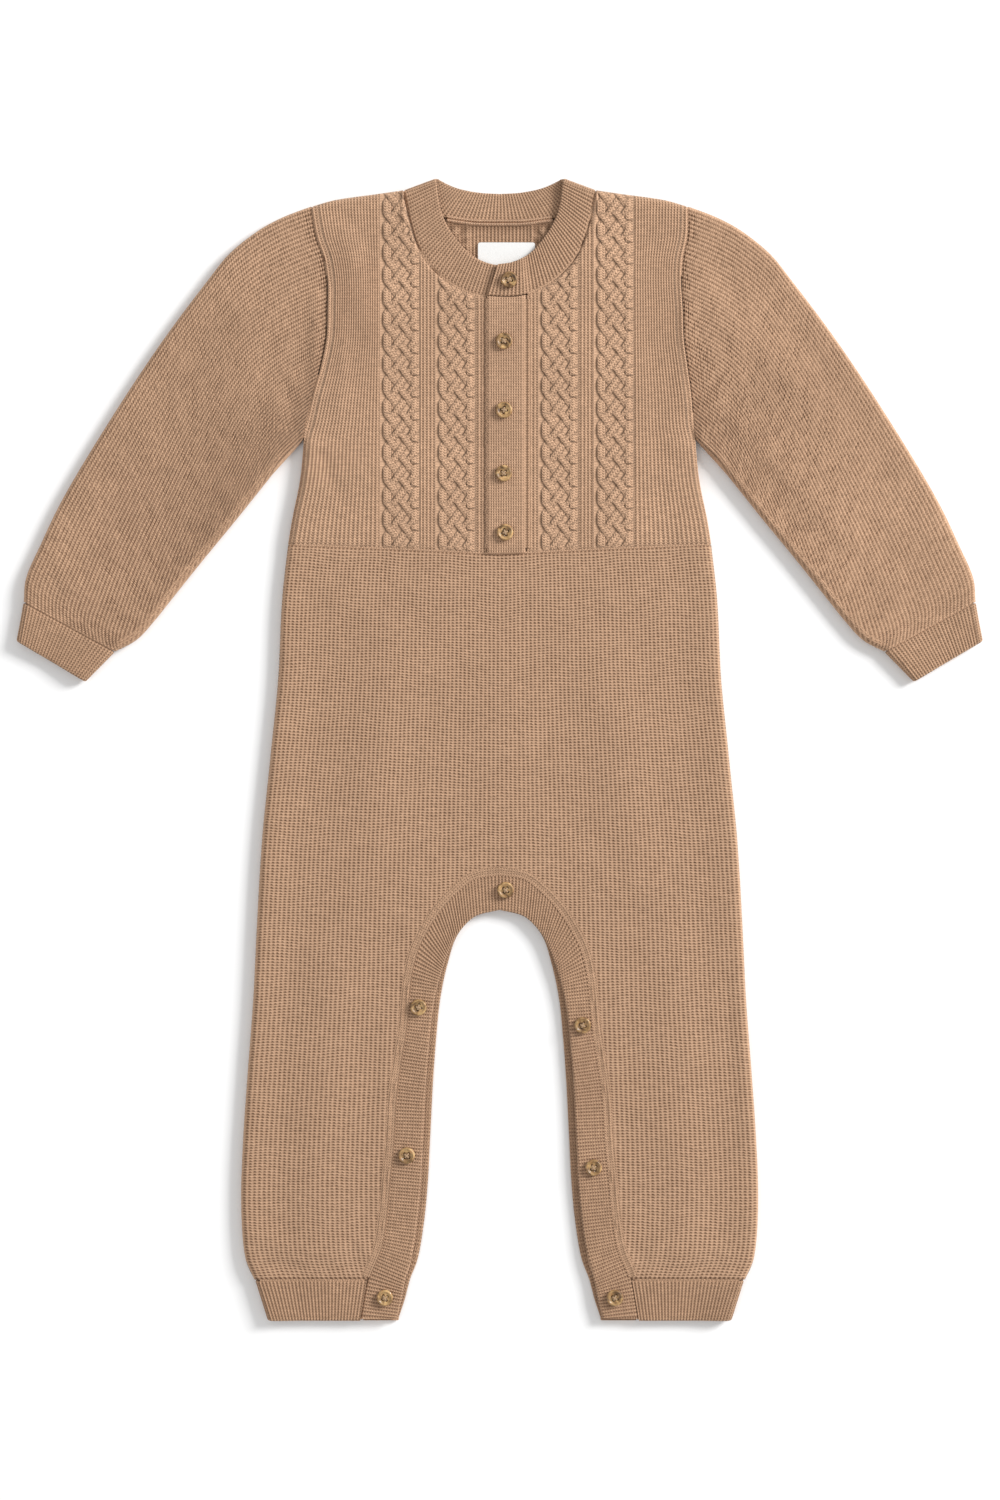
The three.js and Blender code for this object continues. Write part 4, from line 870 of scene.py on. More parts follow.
# Sleeves: wales run beside the outer fold and are cut off one by one by the underarm seam
def sleeve_frame(s):
    """Outer and under ends of the chords across the sleeve at shares s of its length."""
    outer = on_curve(SLEEVE_CURVES[0], s)
    under = on_curve(SLEEVE_CURVES[1], s)
    along = (under - outer) / np.linalg.norm(under - outer, axis=-1, keepdims=True)
    gap = np.where(s < 0.5, ARMHOLE_CLEARANCE / 2 * (1 - soft(s, 0, 0.06)),
                   -SEAM_GAP / 2 * soft(s, 0.97, 1))
    move = np.stack([-along[..., 1], along[..., 0]], axis=-1) * gap[..., None]
    return outer + move, under + move


def sleeve_places(side, s, distance, reach):
    """Plan places on the sleeve at a distance from its outer fold, of a reach along the chord."""
    outer, under = sleeve_frame(s)
    width = np.linalg.norm(under - outer, axis=-1)
    t = np.clip(distance / reach, 0, 1)
    plan = outer + (under - outer) * t[..., None]
    y = mix(ARMHOLE["y"][0], ARMHOLE["y"][-1], t)
    straight = mix(ARMHOLE["x"][0], ARMHOLE["x"][-1], t)
    x = plan[..., 0] + (armhole_x(side, y) - straight) * (1 - soft(s, 0, 0.3))
    edge = np.minimum(t, 1 - t) * width
    way = (under - outer) / width[..., None] * np.where(t < 0.5, 1, -1)[..., None]
    return side * x, plan[..., 1], edge, (side * way[..., 0], way[..., 1])


SLEEVE_CURVES = (curve_of(SLEEVE_OUTER), curve_of(SLEEVE_UNDER))
SLEEVE_LENGTH = SLEEVE_CURVES[0]["length"][-1]


def sleeve_surface(cloth, side, layer, face, wale_step, row_step, depth):
    """Upper or lower half of the sleeve, as lines from the outer fold to the underarm."""
    dense = np.linspace(0, 1, 800)
    outer, under = sleeve_frame(dense)
    widths = np.minimum.accumulate(np.linalg.norm(under - outer, axis=-1))
    widths = widths - np.linspace(0, 0.01, len(widths))
    count = int(round(SLEEVE_LENGTH / row_step))
    s_rows = np.linspace(0, 1, count + 1)
    edges = EDGE_STEPS if face == 0 else FEW_EDGE_STEPS
    distances = np.concatenate([edges, np.arange(TURN_OUTER + wale_step, widths[0], wale_step)])
    corner = widths[-1]
    distances = np.sort(np.append(distances[np.abs(distances - corner) > 0.15], corner))
    distances = np.append(distances[distances < widths[0] - 0.2], widths[0])
    lines = []
    for distance in distances:
        if distance <= corner + 1e-6:
            s, rows = s_rows, np.append(np.arange(count), -1)
        else:
            end = float(np.interp(-distance, -widths, dense))
            keep = s_rows < end - 0.3 / SLEEVE_LENGTH
            s = np.append(s_rows[keep], end)
            rows = np.append(np.nonzero(keep)[0], -1)
        reach = np.interp(s, dense, widths)
        x, y, edge, inward = sleeve_places(side, s, np.full(len(s), distance), reach)
        edge = np.where(rows < 0, np.where(distance > corner - 1e-6, 0, edge), edge)
        points = skin(x, y, edge, 1.0, inward, layer)[face]
        points[edge < 1e-6, 2] = MID_HEIGHT
        wale = (distance - TURN_OUTER) / PIT_WALE
        course = s * count / 2
        at_seam = 1 - soft(s * SLEEVE_LENGTH, 0, 2)
        near_seam = 1 - soft(s * SLEEVE_LENGTH, 2, 11)
        dug = depth * soft(edge, 0.15, 1.8) * (
            pitted(wale, course) * (1 + 0.35 * near_seam) + 0.3 * at_seam)
        points[:, 2] += -dug if layer == "upper" else dug
        stitches = np.column_stack([np.full(len(s), wale), course])
        # The kind of 0.2 gives the sleeves nearly the lighter, lit copy of the yarn colour: painted
        # light.
        lines.append(line_of(cloth, points, stitches, rows, row_step, 1 - 0.9 * dug, 0.2))
        lines[-1]["to_cuff"] = distance <= corner + 1e-6
    return lines


def sleeve(side):
    cloth = Cloth()
    rings = []
    for face, wale_step, row_steps, depth in (
            (0, PIT_WALE / 2, (0.76, 2.0), 1.2), (1, 12, (16, 16), 0)):
        upper = sleeve_surface(cloth, side, "upper", face, wale_step, row_steps[0], depth)
        lower = sleeve_surface(cloth, side, "lower", face, wale_step, row_steps[1], depth)
        cloth.lines(upper)
        cloth.lines(lower)
        cloth.zip(upper[0]["numbers"], lower[0]["numbers"])
        cloth.zip(under_edge(upper), under_edge(lower))
        start = np.concatenate([ends(upper, 0), ends(lower, 0)[::-1]])
        to_cuff = [[line for line in half if line["to_cuff"]] for half in (upper, lower)]
        end = np.concatenate([ends(to_cuff[0], -1), ends(to_cuff[1], -1)[::-1]])
        rings.append((start, end))
    for outer_ring, inner_ring in zip(*rings):
        cloth.zip(np.append(outer_ring, outer_ring[0]), np.append(inner_ring, inner_ring[0]))
    return cloth.make("cloth_sleeve_" + SIDE_NAME[side], materials["knit"])


def under_edge(lines):
    return np.array([line["numbers"][-1] for line in lines
                     if not line["to_cuff"] or line is [x for x in lines if x["to_cuff"]][-1]])


# Ribbed strips: bands and cuffs. A station is a cut across the strip with four corners.
def flat_stations(a, b, outer, inner, lifted=1.0, from_edge=INLAND):
    """Stations between plan points a and b (one row each) at the given heights."""
    def at(points, height):
        rise = lift(points[:, 0], points[:, 1], np.broadcast_to(from_edge, len(points)))
        return np.column_stack([points, np.broadcast_to(height, len(points)) + rise * lifted])
    return {"outer_a": at(a, outer), "outer_b": at(b, outer),
            "inner_a": at(a, inner), "inner_b": at(b, inner)}


def turn_stations(a, b, outward, degrees):
    """Stations where a strip turns from front to back. Each end follows its own edge lines."""
    outward = np.asarray(outward)

    def corners(end, radius):
        out = []
        for degree in degrees:
            angle = math.radians(degree)
            back = TURN_OUTER - radius * math.cos(angle)
            front = np.asarray(end.get("front", -outward), dtype=float)
            rear = np.asarray(end.get("rear", front), dtype=float)
            way = mix(rear, front, (np.sign(degree) + 1) / 2)
            reach = -back / float(way @ outward)
            plan = np.asarray(end["at"]) + way * reach
            out.append([plan[0], plan[1], MID_HEIGHT + radius * math.sin(angle)])
        return np.array(out)

    return {"outer_a": corners(a, TURN_OUTER), "outer_b": corners(b, TURN_OUTER),
            "inner_a": corners(a, TURN_INNER), "inner_b": corners(b, TURN_INNER)}


def joined(*parts):
    return {key: np.concatenate([part[key] for part in parts]) for key in parts[0]}


def flipped(stations):
    return {key: rows[::-1] for key, rows in stations.items()}


def rib_strip(name, stations, pitch, depth, closed=False, across=8, material="rib"):
    """A ribbed band with rounded edges, its ribs across it, through its stations."""
    middle = (stations["outer_a"] + stations["outer_b"]) / 2
    steps = np.linalg.norm(np.diff(middle, axis=0), axis=1)
    along = np.concatenate([[0], np.cumsum(steps)])
    if closed:
        whole = along[-1] + np.linalg.norm(middle[0] - middle[-1])
        pitch = whole / round(whole / pitch)
    width = np.linalg.norm(stations["outer_b"] - stations["outer_a"], axis=1)
    thick = np.linalg.norm(stations["outer_a"] - stations["inner_a"], axis=1)
    radius = np.clip(0.5 * thick / width, 0, 0.45)[:, None]
    bend = np.radians(np.array([68, 45, 22, 0, -22, -45, -68]))
    inner_share = np.linspace(0, 1, 4)
    outer_share = np.linspace(0, 1, across)
    w = np.concatenate([
        mix(radius, 1 - radius, outer_share), 1 - radius + radius * np.cos(bend),
        mix(1 - radius, radius, inner_share), radius - radius * np.cos(bend)], axis=1)
    h = np.concatenate([np.ones(across), 0.5 + 0.5 * np.sin(bend), np.zeros(4),
                        0.5 - 0.5 * np.sin(bend)])[None]
    outer_line = (mix(stations["outer_a"][:, None], stations["outer_b"][:, None], w[..., None]))
    inner_line = (mix(stations["inner_a"][:, None], stations["inner_b"][:, None], w[..., None]))
    points = mix(inner_line, outer_line, h[..., None])
    normal = outer_line - inner_line
    normal = normal / np.maximum(np.linalg.norm(normal, axis=-1, keepdims=True), 1e-9)
    wale = along / pitch
    wave = rib_wave(wale)[:, None]
    faces = soft(h, 0.3, 0.9) - 0.7 * soft(1 - h, 0.3, 0.9)
    points = points - normal * ((1 - wave) * depth * faces)[..., None]
    stitches = np.stack(np.broadcast_arrays(wale[:, None], w * width[:, None] / COURSE), axis=-1)
    shade = np.broadcast_to(0.5 + 0.5 * wave, w.shape)
    cloth = Cloth()
    numbers = cloth.add(points, stitches, shade, 0.0)
    if closed:
        cloth.grid(np.concatenate([numbers, numbers[:1]]), closed=True)
    else:
        cloth.grid(numbers, closed=True)
        cloth.fan(numbers[0])
        cloth.fan(numbers[-1][::-1])
    return cloth.make(name, materials[material])


TURN_ANGLES = np.array([90, 78, 66, 54, 42, 30, 18, 6, -6, -18, -30, -42, -54, -66, -78, -90])
RIB_SAMPLES = 4
BAND_RELIEF = 0.5


def settled(distance):
    """Heights of the front layer of a strip at a distance from a turned edge."""
    settle = RISE * soft(distance, TURN_OUTER, TURN_OUTER + EASE_LENGTH)
    return 2 * TURN_OUTER - settle, MID_HEIGHT + TURN_INNER - settle


def neck_front(side):
    """One side of the front neckband, from its end at the opening to the shoulder."""
    overlaps = side > 0
    starts = {"seam": -6.4, "edge": -0.9} if overlaps else {"seam": 10, "edge": 10}

    def cut(rows, start):
        own = start if overlaps else -start
        first = [[own, float(look_up(rows, "x", "y", max(own, rows["x"][0])))]]
        after = rows["x"] > own + 1.5
        return plan_curve(np.array(first + list(zip(rows["x"][after], rows["y"][after]))))

    seam, edge = cut(NECK_SEAM, starts["seam"]), cut(NECK_EDGE, starts["edge"])
    length = seam["length"][-1]
    count = int(round(length / (BAND_RIB / RIB_SAMPLES)))
    t = np.linspace(0, 1, count + 1)
    t = t[t < 1 - (TURN_OUTER + 0.4) / length]
    a, b = on_curve(seam, t), on_curve(edge, t)
    distance = np.maximum(TURN_OUTER, (1 - t) * length * 0.85 + TURN_OUTER)
    outer, inner = settled(distance)
    middle = (a[:, 0] + b[:, 0]) / 2
    if overlaps:
        over = 1 - soft(middle, 12, 17)
        outer = outer + (LAP["upper_top"] - UPPER_TOP) * over
        inner = inner + (LAP["upper_bottom"] - UPPER_BOTTOM) * over
    else:
        outer = outer - (UPPER_TOP - LAP["lower_top"]) * (1 - soft(middle, 8, 13))
    flip = np.array([side, 1])
    return flat_stations(a * flip, b * flip, outer, inner, 1.0, distance)


def neck_turn(side):
    seam = np.array([NECK_SEAM["x"][-1], NECK_SEAM["y"][-1]])
    edge = np.array([NECK_EDGE["x"][-1], NECK_EDGE["y"][-1]])
    length = np.linalg.norm(edge - seam)
    outward = (side * (edge - seam)[1] / length, -(edge - seam)[0] / length)
    flip = np.array([side, 1])

    def end(at, front_rows, rear_rows):
        front = np.array([front_rows["x"][-2], front_rows["y"][-2]]) - at
        rear = np.array([rear_rows["x"][1], rear_rows["y"][1]]) - at
        return {"at": at * flip, "front": front * flip, "rear": rear * flip}

    return turn_stations(end(seam, NECK_SEAM, BACK_NECK_SEAM),
                         end(edge, NECK_EDGE, BACK_NECK_EDGE), outward, TURN_ANGLES)


def neck_back():
    """The back of the neckband, from the left shoulder to the right one."""
    seam, edge = curve_of(BACK_NECK_SEAM), curve_of(BACK_NECK_EDGE)
    length = seam["length"][-1]
    count = int(round(length / (BAND_RIB / RIB_SAMPLES)))
    t = np.linspace(0, 1, count + 1)
    t = t[t > (TURN_OUTER + 0.6) / length]
    a, b = on_curve(seam, t), on_curve(edge, t)
    flip = np.array([-1, 1])
    plan_a = np.concatenate([a * flip, a[-2::-1]])
    plan_b = np.concatenate([b * flip, b[-2::-1]])
    return flat_stations(plan_a, plan_b, 0.0, PLY, 0.0)


def neckband():
    stations = joined(neck_front(-1), neck_turn(-1), neck_back(), flipped(neck_turn(1)),
                      flipped(neck_front(1)))
    return rib_strip("cloth_neckband", stations, BAND_RIB, BAND_RELIEF, across=12,
                     material="lit_rib")


def straight_across(points, ways, t, curve):
    """For each point the place on a curve that lies square to its way, and at the start the
    one at the same share t of the length."""
    shares = np.linspace(0, 1, 600)
    dense = on_curve(curve, shares)
    found = []
    for point, way in zip(points, ways):
        ahead = np.maximum.accumulate((dense - point) @ way)
        found.append(float(np.interp(0, ahead + 1e-9 * np.arange(len(ahead)), shares)))
    window = np.hanning(25)
    found = mix(t, np.maximum.accumulate(found), soft(t, 0.08, 0.35))
    padded = np.pad(np.maximum.accumulate(found), 12, mode="reflect", reflect_type="odd")
    return on_curve(curve, np.clip(np.convolve(padded, window / window.sum(), mode="valid"), 0, 1))


def leg_band(layer):
    inset = 1 if layer == "upper" else 0
    seam_curve = leg_seam_curve(layer)
    edge_points = np.column_stack([LEG_EDGE["x"] + inset * LEG_EDGE["inset"], LEG_EDGE["y"]])
    edge_curve = plan_curve(edge_points)
    length = seam_curve["length"][-1]
    samples = RIB_SAMPLES if layer == "upper" else 2
    count = int(round(length * 0.96 / (BAND_RIB / samples)))
    t = np.linspace(0, 1, count + 1)
    way = tangent(seam_curve, t)
    a = on_curve(seam_curve, t) + np.column_stack([way[:, 1], -way[:, 0]]) * SEAM_GAP / 2
    b = straight_across(a, way, t, edge_curve)
    hem = BAND_HEM_Y["front" if layer == "upper" else "back"]
    a[0, 0] = b[0, 0] = 0
    a[-1, 1] = b[-1, 1] = hem
    flip = np.array([-1, 1])
    plan_a = np.concatenate([a[::-1] * flip, a[1:]])
    plan_b = np.concatenate([b[::-1] * flip, b[1:]])
    if layer == "upper":
        stations = flat_stations(plan_a, plan_b, UPPER_TOP, UPPER_BOTTOM)
        return rib_strip("cloth_leg_band_front", stations, BAND_RIB, BAND_RELIEF)
    stations = flat_stations(plan_a, plan_b, 0.0, PLY, 0.0)
    return rib_strip("cloth_leg_band_back", stations, BAND_RIB, BAND_RELIEF, across=5)


def leg_cuff(side):
    top_y = CUFF_SEAM_Y - SEAM_GAP / 2
    fold_top, fold_hem = LEG_CUFF_FOLD["top"], LEG_CUFF_FOLD["hem"]

    def flat(layer):
        curve = leg_seam_curve(layer)
        line = seam_beside(curve, -SEAM_GAP / 2)
        top = float(np.interp(-top_y, -line[:, 1], line[:, 0]))
        bottom = float(line[-1, 0])
        count = int(round((fold_top - top) / (BAND_RIB / RIB_SAMPLES)))
        t = np.linspace(0, 1, count, endpoint=False)
        a = np.column_stack([side * mix(top, fold_top - TURN_OUTER, t), np.full(count, top_y)])
        b = np.column_stack([side * mix(bottom, fold_hem - TURN_OUTER, t), np.full(count, HEM_Y)])
        if layer == "upper":
            distance = (1 - t) * (fold_top - top) + TURN_OUTER
            outer, inner = settled(distance)
            return flat_stations(a, b, outer, inner, 1.0, distance)
        return flat_stations(a, b, 0.0, PLY, 0.0)

    around = turn_stations({"at": (side * fold_top, top_y)}, {"at": (side * fold_hem, HEM_Y)},
                           (side, 0), TURN_ANGLES)
    stations = joined(flat("upper"), around, flipped(flat("lower")))
    return rib_strip("cloth_leg_cuff_" + SIDE_NAME[side], stations, BAND_RIB, BAND_RELIEF)


def sleeve_cuff(side):
    seam = {"outer": np.array([SLEEVE_OUTER["x"][-1], SLEEVE_OUTER["y"][-1]]),
            "under": np.array([SLEEVE_UNDER["x"][-1], SLEEVE_UNDER["y"][-1]])}
    hem = {key: np.array(value) for key, value in CUFF_HEM.items()}
    down = hem["outer"] - seam["outer"]
    down = down / np.linalg.norm(down) * SEAM_GAP / 2
    seam = {key: value + down for key, value in seam.items()}
    flip = np.array([side, 1])

    def ring(ends_at, radius_out, radius_in):
        """Points round the flat tube at one end: outer and inner face in step."""
        outer, under = ends_at["outer"], ends_at["under"]
        width = np.linalg.norm(under - outer)
        way = (under - outer) / width
        flat_count = int(round((width - 2 * TURN_OUTER) / (BAND_RIB / RIB_SAMPLES)))
        t = np.linspace(TURN_OUTER, width - TURN_OUTER, flat_count + 1)
        angles = np.radians(TURN_ANGLES)
        faces = []
        for radius in (radius_out, radius_in):
            top_edge = np.minimum(t, width - t)
            settle = RISE * soft(top_edge, TURN_OUTER, TURN_OUTER + EASE_LENGTH)
            plan = (outer + way * t[:, None]) * flip
            air = lift(plan[:, 0], plan[:, 1], top_edge)
            upper = np.column_stack([plan, MID_HEIGHT + radius - settle + air])
            lower = np.column_stack([plan, np.full(len(t), MID_HEIGHT - radius)])
            far = np.column_stack([
                (outer + way * (width - TURN_OUTER + radius * np.cos(angles))[:, None]) * flip,
                MID_HEIGHT + radius * np.sin(angles)])
            near = np.column_stack([
                (outer + way * (TURN_OUTER - radius * np.cos(angles))[:, None]) * flip,
                MID_HEIGHT - radius * np.sin(angles)])
            faces.append(np.concatenate([upper[:-1], far, lower[-2:0:-1], near]))
        return faces

    hem_count = int(round((np.linalg.norm(hem["under"] - hem["outer"]) - 2 * TURN_OUTER)
                          / (BAND_RIB / RIB_SAMPLES)))
    rings = {}
    for key, ends_at in (("a", seam), ("b", hem)):
        rings[key] = resampled_ring(ring(ends_at, TURN_OUTER, TURN_INNER), hem_count)
    stations = {"outer_a": rings["a"][0], "inner_a": rings["a"][1],
                "outer_b": rings["b"][0], "inner_b": rings["b"][1]}
    return rib_strip("cloth_sleeve_cuff_" + SIDE_NAME[side], stations, BAND_RIB, BAND_RELIEF,
                     closed=True, across=9, material="lit_rib")


def resampled_ring(faces, flat_count):
    """Both faces of a ring at even shares of its length round the outer face."""
    outer, inner = (np.vstack([face, face[:1]]) for face in faces)
    steps = np.linalg.norm(np.diff(outer, axis=0), axis=1)
    along = np.concatenate([[0], np.cumsum(steps)])
    count = 2 * flat_count + 40
    t = np.linspace(0, along[-1], count, endpoint=False)
    return [np.column_stack([np.interp(t, along, face[:, k]) for k in range(3)])
            for face in (outer, inner)]


def placket_band(name, x_from, x_to, heights_at):
    """A lapped band of the front opening, with ribs along it."""
    count = int(round((x_to - x_from) / (PLACKET_RIB / 5)))
    x = np.linspace(x_from, x_to, count + 1)
    shares = np.linspace(0, 1, 62)[:, None]
    low = look_up(WAIST, "x", "y", np.abs(x)) + SEAM_GAP / 2
    high = look_up(NECK_SEAM, "x", "y", x) - SEAM_GAP
    y = mix(low, high, shares)
    top, bottom = heights_at(x)
    rise = lift(np.broadcast_to(x, y.shape), y, INLAND)
    wale = x / PLACKET_RIB
    wave = rib_wave(wale)
    edge = np.minimum(x - x_from, x_to - x)
    round_off = 0.7 * (1 - np.sqrt(1 - (1 - np.clip(edge / 0.8, 0, 1)) ** 2))
    end = np.minimum(shares, 1 - shares) * (high - low)
    end_off = 0.6 * (1 - np.sqrt(1 - (1 - np.clip(end / 0.8, 0, 1)) ** 2))
    upper = np.stack([np.broadcast_to(x, y.shape), y,
                      top - 0.22 * (1 - wave) - round_off - end_off + rise], axis=-1)
    under_x = x[::-1][::6]
    index = np.arange(count + 1)[::-1][::6]
    lower = np.stack([np.broadcast_to(under_x, (len(shares), len(under_x))), y[:, index],
                      bottom[index] + round_off[index] * 0.6 + rise[:, index]], axis=-1)
    points = np.concatenate([upper, lower], axis=1)
    stitches = np.stack(np.broadcast_arrays(
        np.concatenate([wale, wale[index]]), np.concatenate([y, y[:, index]], axis=1) / COURSE),
        axis=-1)
    shade = np.concatenate([np.broadcast_to(0.62 + 0.38 * wave, y.shape),
                            np.full((len(shares), len(index)), 0.6)], axis=1)
    cloth = Cloth()
    numbers = cloth.add(points, stitches, shade, 0.0)
    cloth.grid(numbers, closed=True)
    for row in (numbers[0], numbers[-1]):
        front_row, back_row = row[:count + 1], row[count + 1:]
        cloth.zip(front_row, back_row[::-1])
    return cloth.make(name, materials["knit"])


def placket_top():
    def heights(x):
        over = 1 - soft(x, PLACKET["ramp_start"], PLACKET["right"])
        return mix(UPPER_TOP, LAP["upper_top"], over), mix(UPPER_BOTTOM, LAP["upper_bottom"], over)
    return placket_band("cloth_placket_top", PLACKET["left"], PLACKET["right"], heights)


def placket_under():
    def heights(x):
        return np.full(len(x), LAP["lower_top"]), np.full(len(x), UPPER_BOTTOM)
    return placket_band("cloth_placket_under", PLACKET["left"], PLACKET["under_right"], heights)


# Seams: strips that lie on the finished cloth along a seam and follow its height
def line_points(rows_x, rows_y, spacing=0.9):
    """Even steps along a smooth line through plan points."""
    curve = plan_curve(np.column_stack([rows_x, rows_y]))
    count = max(2, int(curve["length"][-1] / spacing))
    return on_curve(curve, np.linspace(0, 1, count + 1))


search_trees = {}


def search_tree(piece):
    if piece.name not in search_trees:
        shape = bmesh.new()
        shape.from_mesh(piece.data)
        search_trees[piece.name] = BVHTree.FromBMesh(shape)
        shape.free()
    return search_trees[piece.name]


def filled(line):
    """Unknown values of a line replaced from the known ones beside them."""
    known = np.nonzero(~np.isnan(line))[0]
    return np.interp(np.arange(len(line)), known, line[known]) if len(known) else line


def height_on(cloth_pieces, plan):
    """Height of the uppermost cloth at plan points, with gaps bridged from beside them."""
    trees = [search_tree(piece) for piece in cloth_pieces]
    height = np.full(plan.shape[:-1], np.nan)
    for place in np.ndindex(height.shape):
        x, y = plan[place] * MM
        for tree in trees:
            hit = tree.ray_cast((x, y, 0.05), (0, 0, -1))[0]
            if hit is not None:
                height[place] = np.nanmax([height[place], hit.z / MM])
    height = np.array([filled(row) for row in height])
    return np.array([filled(column) for column in height.T]).T


SEAM_WALE = 1.3


def seam_strip(name, path, across, relief, on, material, lowered=0, darkest=0.55):
    """A closed strip along a path. across gives places to the left of it, and relief their
    height above the cloth. lowered is how far it lies deeper, along the path, and darkest is
    the shade of its lowest part."""
    way = np.gradient(path, axis=0)
    way = way / np.linalg.norm(way, axis=1, keepdims=True)
    normal = np.column_stack([-way[:, 1], way[:, 0]])
    across, relief = np.asarray(across, float), np.asarray(relief, float)
    plan = path[:, None] + normal[:, None] * across[None, :, None]
    height = height_on(on, plan)
    window = np.hanning(9)
    window = window / window.sum()
    padded = np.pad(height, ((4, 4), (0, 0)), mode="edge")
    height = np.stack([np.convolve(padded[:, k], window, mode="valid")
                       for k in range(height.shape[1])], axis=1)
    along = np.concatenate([[0], np.cumsum(np.linalg.norm(np.diff(path, axis=0), axis=1))])
    height = height - np.broadcast_to(lowered, len(path))[:, None]
    top = np.concatenate([plan, (height + relief)[..., None]], axis=-1)
    bottom = np.concatenate([plan, (height + relief.min() - 0.4)[..., None]], axis=-1)[:, ::-1]
    stitches = np.stack(np.broadcast_arrays(across[None] / SEAM_WALE, along[:, None] / COURSE), axis=-1)
    level = (relief - relief.min()) / max(0.01, np.ptp(relief))
    shade = np.repeat(mix(darkest, 1, level)[None], len(path), axis=0)
    cloth = Cloth()
    numbers = cloth.add(np.concatenate([top, bottom], axis=1),
                        np.concatenate([stitches, stitches[:, ::-1]], axis=1),
                        np.concatenate([shade, shade[:, ::-1]], axis=1), 0.0)
    cloth.grid(numbers, closed=True)
    cloth.fan(numbers[0])
    cloth.fan(numbers[-1][::-1])
    return cloth.make(name, material)


def sewn(sheet_name, seam_name, *arguments, **options):
    """Adds a seam strip to the garment, as a part of the named piece's sheet."""
    strip = dress(seam_strip(seam_name, *arguments, **options), "knit")
    trims.setdefault(sheet_name, []).append(strip)


def mirrored(path, side):
    return path * np.array([side, 1])


def armhole_path(side):
    y = np.linspace(ARMHOLE["y"][0] - 0.6, ARMHOLE["y"][-1] + 1, 150)
    x = armhole_x(side, y) - ARMHOLE_CLEARANCE / 2
    return np.column_stack([side * x, y])


